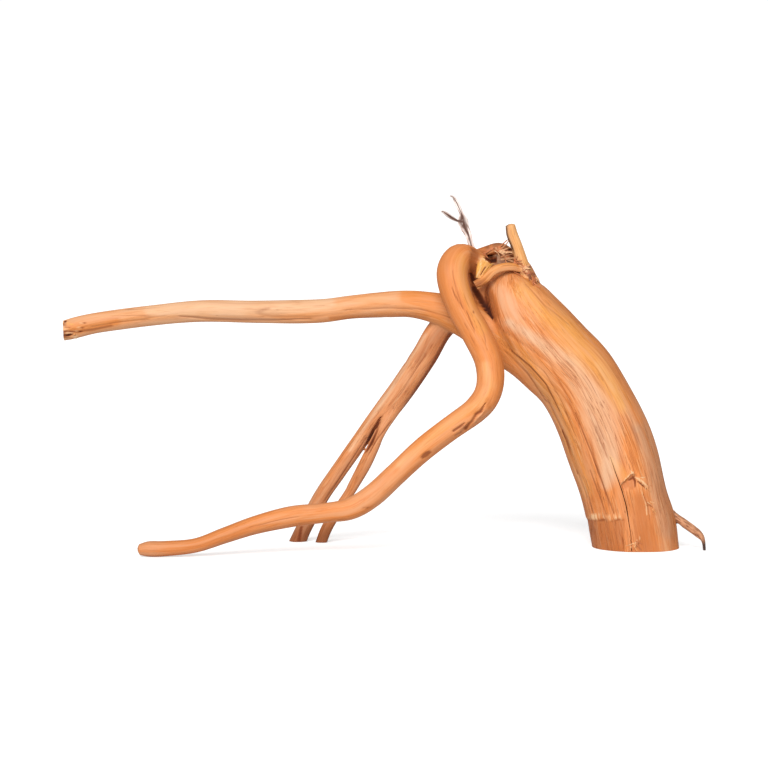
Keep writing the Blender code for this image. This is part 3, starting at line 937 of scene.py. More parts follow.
        ("bark_edge",),
        Mark(((488, 414, 0.4), (480, 419.5, 0.5)), -0.4, 0.5),
        Mark(((493, 408, 0.4), (489, 412, 0.5)), -0.4, 0.45),
    ),
    # Back branch and second leg: dark grooves and dark sides, the back branch's right side in painted shade,
    # with a painted highlight down its left side and a painted shadow under the level branch.
    *on(
        BACK_ONLY,
        # A shallow dark groove with painted shade down the branch's upper right edge.
        Mark(
            ((452, 330, 1.8), (430, 370, 2.0), (410, 400, 2.0), (396, 420, 1.4)),
            -0.3, 0.3, shade=0.6, core=0.3,
        ),
        # A pale pinkish strip down the left side: painted highlight on the side that faces the light.
        Mark(
            ((425, 335, 1.8), (398, 378, 2.2), (380, 405, 2.0), (350, 450, 1.8)),
            warmth=-0.5, shade=-0.1, core=0.1,
        ),
        # Painted shade down the lower right side.
        Mark(((372, 442, 2.2), (354, 471, 2.4), (336, 498, 2.0)), 0, 0.25, shade=0.7, core=0.3),
        Mark(((432, 345, 0.5), (406, 385, 0.8), (390, 410, 0.5)), -0.35, 0.35),
        # Painted shadow where the level branch hangs over the back branch.
        Mark(((440, 330, 6), (428, 348, 6), (418, 360, 4)), shade=0.3, core=0.2),
    ),
    # Painted shade in the fork between the legs, which is also carved.
    *on(
        ("back_branch", "second_leg"),
        Mark(
            ((380.5, 417.5, 0.7), (375, 430, 2.3), (370, 442, 2.8), (365, 451, 1.8)),
            -1.2, 0.72, shade=0.5, core=0.45,
        ),
    ),
    *on(
        BACK_ONLY,
        Mark(((329, 500, 1.6), (337, 499, 1.6)), -0.3, 0.5, shade=0.4, core=0.3),
        Mark(((301, 528, 1.2), (299, 541, 1.6)), -0.2, 0.55, shade=0.4, core=0.3),
    ),
    *on(
        ("second_leg",),
        Mark(((318, 528, 1.0), (315.5, 541, 1.4)), -0.2, 0.55, shade=0.4, core=0.3),
    ),
    *on(
        BACK_ONLY,
        Mark(((366, 438, 0.6), (345, 470, 0.8), (325, 500, 0.5)), -0.4, 0.45),
    ),
    *on(
        ("second_leg",),
        Mark(((392, 420, 0.6), (378, 438, 0.8), (368, 455, 0.5)), -0.4, 0.45),
    ),
)


# The long crack from the scar's left side down to the foot.
CRACK_LINE = (
    (610.5, 458, 0.1), (616, 474, 0.2), (622, 491, 0.32), (626, 505, 0.3), (628.5, 520, 0.22),
    (631, 536, 0.15), (632, 556, 0.1),
)
CRACK = Mark(CRACK_LINE, core=0.4)


# Columns round the trunk, in degrees from its front: from, to and step, finest where the crack runs.
TRUNK_COLUMNS = ((-8.5, 2.0, 0.25), (2.0, 47.0, 0.8), (47.0, 300.0, 2.0), (300.0, 351.5, 0.9))
# Heights where the trunk's rings are closer together or, under the ground, farther apart: from, to, step.
TRUNK_RINGS = ((12.5, 22.0, 0.5), (30.0, 56.0, 0.7), (-FAR, -4.0, 8.0))
# The same for the front root, round its elbow, as far left as this.
ELBOW_RINGS, ELBOW_LEFT = (70.0, 102.0, 0.7), -124.0
# How far out the rings that close a limb's end lie, as shares of its own.
END_SHARES = (0.3, 0.55, 0.78, 0.92)


@dataclass
class RootWood:
    """The whole grown root: its limbs joined, run into each other, grooved, cracked and sawn flat."""

    limbs: tuple[Limb, ...] = WOOD_LIMBS
    crack: Mark = CRACK
    crack_depth: float = 1.5
    ledge_line: float = 519.3
    ledge_depth: float = 0.7
    ledge_right: float = 624.0
    ledge_back: float = 12.0
    spines: list[Spine] = field(default_factory=list)

    def build(self) -> bpy.types.Object:
        """Makes the root's mesh with the attributes that its material reads."""
        self.spines = [Spine(limb) for limb in self.limbs]
        piece, *others = (self.tube(spine) for spine in self.spines)
        for other in others:
            join_solid(piece, other)
        piece.name = piece.data.name = "root_wood"
        points = self.settle(points_of(piece))
        points = points + self.relief(points)
        move_points(piece, points)
        saw_flat(piece)
        self.colour(piece)
        smooth_shade(piece)
        return piece

    def turns(self, limb: Limb) -> Array:
        """The columns round a limb, closer together where the trunk's crack runs."""
        count = limb.columns
        turns = np.linspace(0, 2 * math.pi, count, endpoint=False)
        if limb is TRUNK:
            step = 1
            parts = [np.arange(low, high, fine * step) for low, high, fine in TRUNK_COLUMNS]
            turns = np.radians(np.concatenate(parts))
        return turns

    def rings(self, spine: Spine) -> Array:
        """The rings along a limb, closer together at the trunk's saw line and at the front root's elbow."""
        step = spine.limb.ring * 1
        if spine.limb not in (TRUNK, FRONT_ROOT):
            return np.linspace(0, spine.length, max(4, round(spine.length / step) + 1))
        places = np.arange(0, spine.length, 0.25)
        right, _, heights = (np.interp(places, spine.along, c) for c in spine.line[:, :3].T)
        wanted = np.full(len(heights), float(step))
        zones = TRUNK_RINGS if spine.limb is TRUNK else (ELBOW_RINGS,)
        inside = np.full(len(heights), True) if spine.limb is TRUNK else right > ELBOW_LEFT
        for low, high, fine in zones:
            wanted[(heights > low) & (heights < high) & inside] = fine
        passed = np.cumsum(0.25 / wanted)
        return np.append(np.interp(np.arange(0, passed[-1]), passed, places), spine.length)

    def tube(self, spine: Spine) -> bpy.types.Object:
        """One limb as a closed tube, with a rounded far end."""
        turn = self.turns(spine.limb)
        rings = spine.surface(self.rings(spine), turn)
        start, end = spine.line[0], spine.line[-1]
        first, last = spine.tangent[0], spine.tangent[-1]
        opening = [start[:3] + (rings[0] - start[:3]) * q for q in END_SHARES]
        if spine.limb is LEVEL_BRANCH:
            opening = self.broken_end(rings[:3], opening, start[:3])
        closing = [
            end[:3] + (rings[-1] - end[:3]) * q + last * end[3] * 0.35 * (1 - q * q) for q in END_SHARES[::-1]
        ]
        rings = np.concatenate([opening, rings, closing])
        return closed_tube(spine.limb.name, rings, start[:3] + first * 0.4, end[:3] + last * end[3] * 0.35)

    def broken_end(self, rings: Array, opening: list[Array], middle: Array) -> list[Array]:
        """Brings the broken end's points to one upright face, a little ragged.

        Args:
            rings: the branch's first rings, whose first two are moved.
            opening: the rings that close the end.
            middle: the middle of the end.

        Returns:
            The moved closing rings.
        """
        noise = GrainNoise(7)
        face = middle[0] - 0.3
        ragged = []
        for ring in opening:
            rough = (noise.at(ring / 1.3) - 0.5) * 1.4
            ragged.append(np.column_stack([face + 0.4 + rough, ring[:, 1:]]))
        rings[0][:, 0] = face + (noise.at(rings[0] / 2.2) - 0.5) * 0.5
        rings[1][:, 0] = np.maximum(rings[1][:, 0], face + 0.7)
        return ragged

    def blend(self, points: Array) -> tuple[Array, Array, Array, list[Found]]:
        """The root's skin as one smooth field.

        Args:
            points: places in millimetres.

        Returns:
            The gap to the skin, the outward direction, each limb's share, and the places on each limb.
        """
        gap = np.full(len(points), FAR - 10)
        out = np.zeros((len(points), 3))
        shares = np.zeros((len(points), len(self.spines)))
        places = []
        for i, spine in enumerate(self.spines):
            found = spine.find(points)
            places.append(found)
            wide = spine.fillet(found.along)
            overlap = np.maximum(wide - np.abs(gap - found.gap), 0) / wide
            share = np.where(found.gap < gap, 1 - overlap / 2, overlap / 2)
            gap = np.minimum(gap, found.gap) - overlap * overlap * wide / 4
            out = out * (1 - share)[:, None] + found.out * share[:, None]
            shares *= (1 - share)[:, None]
            shares[:, i] = share
        return gap, out, shares, places

    def at_end(self, shares: Array, places: list[Found]) -> Array:
        """Marks points that lie on the end face of a limb, which keep their place."""
        past = np.stack([found.beyond > 0.02 for found in places], axis=1)
        return ((shares > 0.4) & past).any(axis=1)

    def settle(self, points: Array) -> Array:
        """Moves the joined limbs' points on to the smooth field, so that limbs run into each other."""
        for _ in range(4):
            gap, out, shares, places = self.blend(points)
            size = np.maximum((out**2).sum(axis=1), 0.3)
            step = np.clip(gap / size, -1.2, 1.2) * ~self.at_end(shares, places)
            points = points - out * step[:, None]
        return points

    def grooves(self, spine: Spine, grain: Array) -> tuple[Array, Array]:
        """A limb's long flutes, fine ridges and drying cracks.

        Args:
            spine: the limb.
            grain: the points' places in its grain.

        Returns:
            Height in millimetres, and how deep in a crack each point is, from 0 to 1.
        """
        seed, size, coarse = len(spine.limb.name) * 7, spine.size, spine.limb.coarse
        wide = 2.2 + 0.33 * size
        flutes = GrainNoise(seed).at(grain / [wide, wide, 45 + 3.5 * size]) - 0.5
        ribs = GrainNoise(seed + 1).at(grain / [wide * 0.45, wide * 0.45, 38]) - 0.5
        fine = GrainNoise(seed + 2).at(grain / [1.5, 1.5, 26]) - 0.5
        height = coarse * (flutes * 2 * (0.1 + 0.02 * size) + ribs * 2 * (0.06 + 0.007 * size) + fine * 0.16)
        split = np.abs(GrainNoise(seed + 3).at(grain / [4.2, 4.2, 80]) - 0.5)
        some = ease(GrainNoise(seed + 4).at(grain / [9, 9, 48]), 0.6, 0.72)
        crack = ease(split, 0.035, 0.008) * some
        return height - 0.2 * crack, crack

    def scar(self, sketch: Array) -> Array:
        """The torn branch scar: a raised tongue of wood above a hollow, and a low swelling to its right."""
        right, down = sketch.T
        wave = (GrainNoise(71).at(np.column_stack([right / 2.5, down / 2.5, down * 0])) - 0.5) * 1.6
        edge = np.maximum(484 - (right - 622) * 1.05, 475) + wave
        left = np.interp(down, [p[1] for p in self.crack.points], [p[0] for p in self.crack.points])
        rise = np.clip((down - 457) / np.maximum(edge - 457, 1), 0, 1) ** 1.5
        tongue = 0.8 * rise * ease(edge - down, -0.8, 1.0) * ease(right - left, 0.3, 2.2)
        tongue = tongue * ease(right, 637, 632)
        below = down - edge
        sides = ease(right - left, 0.5, 2.5) * ease(right, 637.0, 634.6)
        hollow = -1.9 * ease(below, -0.8, 1.0) * np.exp(-((np.maximum(below, 0) / 9.0) ** 2)) * sides
        mound = np.exp(-(((right - 642) / 11) ** 2) - ((down - 486) / 12) ** 2)
        swelling = 0.9 * ease(right, 634.6, 638.0) * mound
        return tongue + hollow + swelling

    def relief(self, points: Array) -> Array:
        """How far each point moves in or out to carve the grooves, the crack, the saw line and the scar."""
        _, out, shares, places = self.blend(points)
        out /= np.linalg.norm(out, axis=1)[:, None] + 1e-9
        height = np.zeros(len(points))
        sketch, y = sketched(points), points[:, 1]
        facing = ease(-out[:, 1], 0.05, 0.35)
        for i, (spine, found) in enumerate(zip(self.spines, places)):
            used = shares[:, i] > 0.02
            height[used] += self.grooves(spine, found.grain[used])[0] * shares[used, i]
            for mark in MARKS:
                if mark.height and spine.limb.name in mark.limbs:
                    act = mark.share(sketch[used], y[used]) * facing[used] * shares[used, i]
                    height[used] += mark.height * act
        trunk = ease(shares[:, 0], 0.4, 0.8)
        height += self.scar(sketch) * facing * trunk
        height -= self.ledge_depth * self.ledge(sketch, y) * trunk
        height -= self.crack_depth * self.crack.share(sketch, y) * facing * trunk
        height[self.at_end(shares, places)] = 0
        return out * height[:, None]

    def ledge(self, sketch: Array, y: Array) -> Array:
        """Where the thin shell is off, under the torn line left of the crack."""
        right, down = sketch.T
        jag = (GrainNoise(31).at(np.column_stack([right / 2.2, y / 1.6, y * 0])) - 0.5) * 1.2
        over = ease(down + jag, self.ledge_line - 0.4, self.ledge_line + 0.4)
        over = over * ease(right, self.ledge_right + 1, self.ledge_right - 1)
        return over * ease(y, self.ledge_back, self.ledge_back - 5)

    def colour(self, piece: bpy.types.Object) -> None:
        """Writes the grain, tint and mark attributes for every point."""
        points = points_of(piece)
        _, out, shares, places = self.blend(points)
        x, y, z = points.T
        sketch = sketched(points)
        out /= np.linalg.norm(out, axis=1)[:, None] + 1e-9
        facing = ease(-out[:, 1], 0.05, 0.35)
        tint = np.zeros((len(points), 3))
        marks = np.zeros((len(points), 3))
        grains = {grain: np.zeros((len(points), 3)) for grain in Grain}
        best = {grain: np.full(len(points), np.inf) for grain in Grain}
        second = np.zeros(len(points))
        lined = np.zeros(len(points))
        for i, (spine, found) in enumerate(zip(self.spines, places)):
            share = shares[:, i]
            limb = spine.limb
            smooth = np.zeros(len(points))
            closer = found.gap < best[limb.grain]
            best[limb.grain][closer] = found.gap[closer]
            offset = np.array([31.0 * i, 17.0 * i, 53.0 * i])
            grains[limb.grain][closer] = (found.grain + offset)[closer]
            if limb.grain is Grain.SECOND:
                second += share
            tint += share[:, None] * np.array([limb.tone.warmth, limb.tone.shade, limb.tone.straw])
            used = share > 0.02
            marks[used, 0] += self.grooves(spine, found.grain[used])[1] * share[used] * 0.25
            for mark in MARKS:
                if limb.name in mark.limbs:
                    act = (mark.share(sketch, y) * facing * share)[:, None]
                    tint += act * [mark.warmth, mark.shade, mark.straw]
                    marks += act * [mark.crack_and_shade, 0, mark.torn]
                    smooth = np.maximum(smooth, act[:, 0] * mark.smooth)
            lined += share * limb.lined * (1 - smooth)
        self.paint_trunk(tint, marks, shares[:, 0], places[0], points, facing)
        self.paint_limbs(tint, marks, shares, places, x, z)
        for grain, values in grains.items():
            write(piece, grain.value, values)
        write(piece, "grain_mix", second)
        write(piece, "lined", np.clip(lined, 0, 1))
        write(piece, "tint", np.clip(tint, 0, 1))
        write(piece, "marks", np.clip(marks, 0, 1))

    def paint_trunk(
        self, tint: Array, marks: Array, share: Array, found: Found, points: Array, facing: Array
    ) -> None:
        """Tints the trunk's sides and foot, and colours its saw line, crack and scar."""
        trunk = share * (share > 0.2)
        sketch, y = sketched(points), points[:, 1]
        right, down = sketch.T
        broad = GrainNoise(51).at(found.grain / [14, 14, 120])
        tint[:, 0] += trunk * (0.3 - (1 - facing) * ease(broad, 0.35, 0.65) * 0.7)
        tint[:, 1] += (0.34 * self.ledge(sketch, y) + 0.1 * ease(down, 470, 530)) * trunk
        strands = GrainNoise(44).at(found.grain / [0.75, 0.75, 20])
        length = GrainNoise(45).at(np.column_stack([(right - down * 0.3) / 2, y / 2, y * 0])) * 6
        above = self.ledge_line - down
        over = ease(above, -0.5, 0.3) * ease(above, 3.0 + length, length) * ease(strands, 0.42, 0.62)
        marks[:, 2] += 0.8 * over * ease(right, self.ledge_right, self.ledge_right - 2) * facing * trunk
        lip = np.exp(-(((above + 0.6) / 0.6) ** 2)) * ease(right, self.ledge_right + 1, self.ledge_right - 1)
        marks[:, 0] += 0.4 * lip * ease(y, 12, 6) * trunk
        marks[:, 0] += self.crack.share(sketch, y) * facing * trunk

    def paint_limbs(
        self, tint: Array, marks: Array, shares: Array, places: list[Found], x: Array, z: Array
    ) -> None:
        """Tints the other limbs where they darken towards the ground, carry bark, sit in painted shade behind
        the hook, or end torn.
        """
        names = [spine.limb.name for spine in self.spines]
        share = {name: shares[:, i] for i, name in enumerate(names)}
        level, front = share["level_branch"], share["front_root"]
        tint[:, 0] += level * (0.5 * ease(x, -150, -105) - 0.25 * ease(x, -190, -230) * ease(x, -330, -290))
        tint[:, 0] -= front * (0.15 * ease(z, 60, 40) + 0.3 * ease(x, -285, -300))
        tint[:, 1] += front * 0.14 * ease(z, 26, 14)
        for name in ("back_branch", "second_leg"):
            tint[:, 1] += share[name] * (0.18 * ease(z, 60, 20) + 0.45 * ease(z, 20, 3))
        ragged = GrainNoise(61).at(np.column_stack([x / 2.4, z / 2.4, x * 0]))
        stub = places[names.index("stub")]
        peeling = ease(np.abs(np.degrees(stub.turn) + 95), 62, 34) * ease(stub.along, 22, 28)
        marks[:, 1] += share["stub"] * peeling
        marks[:, 1] += share["collar"] * (0.1 + 0.4 * ease(x, -74, -84)) * ease(ragged, 0.35, 0.7)
        # Painted shade: the hook's back run, deep behind the hook, takes the dark bark colour.
        marks[:, 1] += share["crown_back"] * 0.6
        tip = places[names.index("level_branch")]
        torn = level * ease(tip.along, 4, 0.5)
        marks[:, 0] += torn * 0.45 * ease(ragged, 0.3, 0.6)
        marks[:, 2] += torn * 0.5 * ease(ragged, 0.7, 0.4)


@dataclass(frozen=True)
class Bundle:
    """Torn fibres that start round one place: where, which way, how many, how long and how thick."""

    start: tuple[float, float, float]
    way: tuple[float, float, float]
    count: int
    spread: float
    length: tuple[float, float]
    half: float = 0.32
    lift: float = 1.6
    stray: float = 0.35
    tone: tuple[float, float] = (0.0, 1.0)


BUNDLES = (
    Bundle((-95, -1, 186), (1, -0.1, 0.0), 6, 1.0, (5, 7), 0.5, 0.6, 0.12, (0.2, 0.6)),
    Bundle((-89, 1, 187.4), (1, -0.1, -0.15), 12, 0.9, (4, 7), 0.6, 0.8, 0.2, (0.7, 1.0)),
    Bundle((-88, 0, 185.5), (1, -0.2, -0.3), 14, 1.3, (5, 8), 0.6, 1.1, 0.25, (0.7, 1.0)),
    Bundle((-86, -2, 181), (1, -0.3, -0.3), 10, 1.2, (5, 9), 0.6, 1.2, 0.3, (0.7, 1.0)),
    Bundle((-79, -5, 179), (1, -0.2, -0.4), 14, 1.4, (5, 9), 0.6, 1.3, 0.3, (0.35, 0.7)),
    Bundle((-72, -7, 175), (0.9, -0.2, -0.4), 10, 1.2, (4, 7), 0.55, 1.0, 0.3, (0.8, 1.0)),
    Bundle((-70, -7, 173), (0.8, -0.2, -0.6), 14, 1.4, (4, 8), 0.6, 1.0, 0.35, (0.0, 0.4)),
    Bundle((-66, -6, 169), (0.6, -0.2, -0.8), 8, 1.0, (3, 6), 0.55, 0.9, 0.35, (0.2, 0.6)),
    Bundle((-64.5, -5, 168.5), (0.9, -0.2, -0.3), 3, 0.5, (3, 4), 0.7, 1.2, 0.2, (0.95, 1.0)),
    Bundle((-76, 8, 178), (0.7, 0.5, -0.5), 18, 2.2, (7, 13), 0.55, 1.2, 0.25),
    Bundle((-90, 9, 182), (1, 0.4, -0.3), 14, 1.6, (7, 11), 0.55, 0.9, 0.18),
)
FLAKES = (
    Bundle((-1.5, -27, 46), (0.9, -0.2, -0.6), 7, 0.9, (3, 6), 0.45, 1.2, 0.3),
    Bundle((3.5, -26, 42), (0.8, -0.3, -0.7), 8, 1.2, (3, 6), 0.5, 1.3, 0.4),
    Bundle((4, -25, 31), (0.6, -0.2, -0.7), 6, 1.3, (2.5, 5), 0.4, 0.9, 0.4),
    Bundle((7.5, -24, 27), (0.5, -0.2, -0.8), 4, 0.8, (2, 4), 0.4, 0.9, 0.4),
    Bundle((-3.5, -27, 6), (0.6, -0.1, -0.9), 6, 1.6, (3, 6), 0.35, 0.7, 0.5),
    Bundle((-351.6, 2, 133.5), (0.1, -0.3, -1), 3, 0.5, (2, 3.2), 0.6, 0.5, 0.2, (0.2, 0.6)),
)


@dataclass
class TornFibres:
    """Thin torn fibres that hug the root: each a narrow curved strip, sunk into the wood where it starts."""

    root: RootWood
    name: str
    bundles: tuple[Bundle, ...]
    seed: int
    steps: int = 8

    def build(self) -> bpy.types.Object:
        """Makes all the bundles as one mesh, with a random tone for each fibre."""
        rng = np.random.default_rng(self.seed)
        lines, halves, tones = [], [], []
        for bundle in self.bundles:
            lines.append(self.lines(bundle, rng))
            halves.append(bundle.half * rng.uniform(0.6, 1.3, bundle.count))
            tones.append(rng.uniform(*bundle.tone, bundle.count))
        line, half, tone = (np.concatenate(values) for values in (lines, halves, tones))
        points, faces = [], []
        for k, (middles, thick) in enumerate(zip(line, half)):
            points.append(self.strip(middles, thick))
            faces += tube_faces(self.steps, 4, k * (self.steps * 4 + 2))
        piece = mesh_object(self.name, np.vstack(points), faces)
        each = self.steps * 4 + 2
        write(piece, "fibre", np.repeat(tone, each))
        smooth_shade(piece, 60)
        return piece

    def lines(self, bundle: Bundle, rng: np.random.Generator) -> Array:
        """The middle lines of one bundle, laid along the wood's skin."""
        count, share = bundle.count, np.linspace(0, 1, self.steps)
        way = np.array(bundle.way) / np.linalg.norm(bundle.way)
        heading = way + rng.normal(0, bundle.stray, (count, 3))
        heading /= np.linalg.norm(heading, axis=1)[:, None]
        start = np.array(bundle.start) + rng.normal(0, bundle.spread * 0.55, (count, 3))
        bend = rng.normal(0, 0.3, (count, 3))
        length = rng.uniform(*bundle.length, count)
        reach = length[:, None] * share[None]
        line = start[:, None] + heading[:, None] * reach[..., None]
        line = line + bend[:, None] * (length[:, None] * share[None] ** 2)[..., None]
        lift = rng.uniform(0.25, 1, count)[:, None] * bundle.lift * np.sin(share * 2.6)[None]
        lift[:, 0] = -1.4
        flat = line.reshape(-1, 3)
        for _ in range(3):
            gap, out, _, _ = self.root.blend(flat)
            out /= np.linalg.norm(out, axis=1)[:, None] + 1e-9
            flat = flat - out * np.clip(gap - lift.ravel(), -4, 4)[:, None]
        line = flat.reshape(line.shape)
        line[:, 1:-1] = (line[:, :-2] + line[:, 1:-1] * 2 + line[:, 2:]) / 4
        line[..., 2] = np.maximum(line[..., 2], 0.8)
        return line

    def strip(self, middles: Array, half: float) -> Array:
        """A flat four-sided strip along a line, thinner towards its far end, with a hub at each end."""
        tangent, front, across = frames(middles)
        taper = half * np.linspace(1.15, 0.45, len(middles))[:, None]
        sides = (0.5, 1), (-0.5, 1), (-0.5, -1), (0.5, -1)
        corners = [front * taper * a + across * taper * b for a, b in sides]
        if self.turned(tangent, corners):
            corners = corners[::-1]
        rings = middles[:, None] + np.stack(corners, axis=1)
        hubs = middles[0] - tangent[0] * 0.2, middles[-1] + tangent[-1] * 0.4
        return np.vstack([hubs[0], rings.reshape(-1, 3), hubs[1]])

    @staticmethod
    def turned(tangent: Array, corners: list[Array]) -> bool:
        """Whether the corners run the wrong way round for faces that point outwards."""
        return bool(np.cross(corners[0][0], corners[1][0]) @ tangent[0] < 0)


def stem_grid(spine: Spine) -> tuple[Array, Array]:
    """The turns round a thin stem and the distances along it where its points lie."""
    turn = np.linspace(0, 2 * math.pi, spine.limb.columns, endpoint=False)
    return turn, np.linspace(0, spine.length, max(5, round(spine.length / spine.limb.ring) + 1))


def stem_noise(seed: int, turn: Array, along: Array, round_it: float, long: float) -> Array:
    """Noise over a thin stem.

    Args:
        seed: the noise's own number.
        turn: the turns round the stem.
        along: the distances along it in millimetres.
        round_it: how many cells of noise its radius takes.
        long: how long a cell is in millimetres.

    Returns:
        A value from -0.5 to 0.5 for each ring and turn.
    """
    sides = np.cos(turn)[None] * round_it, np.sin(turn)[None] * round_it
    cells = np.stack(np.broadcast_arrays(*sides, along[:, None] / long), -1)
    return GrainNoise(seed).at(cells.reshape(-1, 3)).reshape(cells.shape[:2]) - 0.5


def rough_stem(spine: Spine, scale: Array, point: float) -> bpy.types.Object:
    """A thin stem with its skin scaled about its middle. Its tip is `point` times its last radius long."""
    turn, along = stem_grid(spine)
    middle = spine.at(along)[0][:, None]
    rings = middle + (spine.surface(along, turn) - middle) * scale[..., None]
    tip = spine.line[-1, :3] + spine.tangent[-1] * spine.line[-1, 3] * point
    return closed_tube(spine.limb.name, rings, spine.line[0, :3], tip)


@dataclass
class DryTwig:
    """The dry forked twig on the hook: a weathered shell, hollow in front, with pale ribs."""

    limbs: tuple[Limb, ...] = (DRY_TWIG, TWIG_PRONG)
    trough: float = 0.75

    def build(self) -> bpy.types.Object:
        """Makes the twig and its side prong as one closed mesh."""
        pieces = [self.shell(Spine(limb)) for limb in self.limbs]
        join_solid(pieces[0], pieces[1])
        piece = pieces[0]
        piece.name = piece.data.name = "dry_twig"
        points = points_of(piece)
        hollow = np.full(len(points), -1.0)
        grain = np.zeros((len(points), 3))
        best = np.full(len(points), np.inf)
        for limb in self.limbs:
            spine = Spine(limb)
            found = spine.find(points)
            closer = np.abs(found.gap) < best
            best[closer] = np.abs(found.gap)[closer]
            grain[closer] = found.grain[closer]
            wide = 0.5 + 0.55 * ease(points[:, 2], 194, 203) * ease(points[:, 2], 210, 206)
            hollow[closer] = np.exp(-((found.turn / wide) ** 4))[closer]
        write(piece, "grain_a", grain)
        write(piece, "trough", np.clip(hollow, 0, 1))
        smooth_shade(piece)
        return piece

    def shell(self, spine: Spine) -> bpy.types.Object:
        """One stem, with a trough down its front and ragged ribs."""
        turn, along = stem_grid(spine)
        signed = (turn + math.pi) % (2 * math.pi) - math.pi
        deep = self.trough * np.exp(-((signed / 0.8) ** 2))[None] * ease(along, 3, 8)[:, None]
        return rough_stem(spine, 1 - deep + 0.2 * stem_noise(83, turn, along, 2, 3), 1.0)


@dataclass
class HairRoot:
    """The thin knotty root beside the foot, with its short dark spur."""

    limbs: tuple[Limb, ...] = (ROOTLET, ROOTLET_SPUR)

    def build(self) -> bpy.types.Object:
        """Makes the root and its spur, sawn where they meet the ground."""
        pieces = [self.stem(Spine(limb)) for limb in self.limbs]
        join_solid(pieces[0], pieces[1])
        piece = pieces[0]
        piece.name = piece.data.name = "hair_root"
        saw_flat(piece)
        points = points_of(piece)
        main, spur = Spine(ROOTLET), Spine(ROOTLET_SPUR)
        found, side = main.find(points), spur.find(points)
        write(piece, "grain_a", found.grain)
        on_spur = ease(side.gap, 0.6, 0.1) * ease(found.gap, 0.1, 0.6)
        write(piece, "dark", np.clip(on_spur + ease(points[:, 2], 8, 3), 0, 1))
        smooth_shade(piece)
        return piece

    def stem(self, spine: Spine) -> bpy.types.Object:
        """One stem with knots and wrinkles."""
        return rough_stem(spine, 1 + 0.36 * stem_noise(91, *stem_grid(spine), 1.6, 4), 0.35)


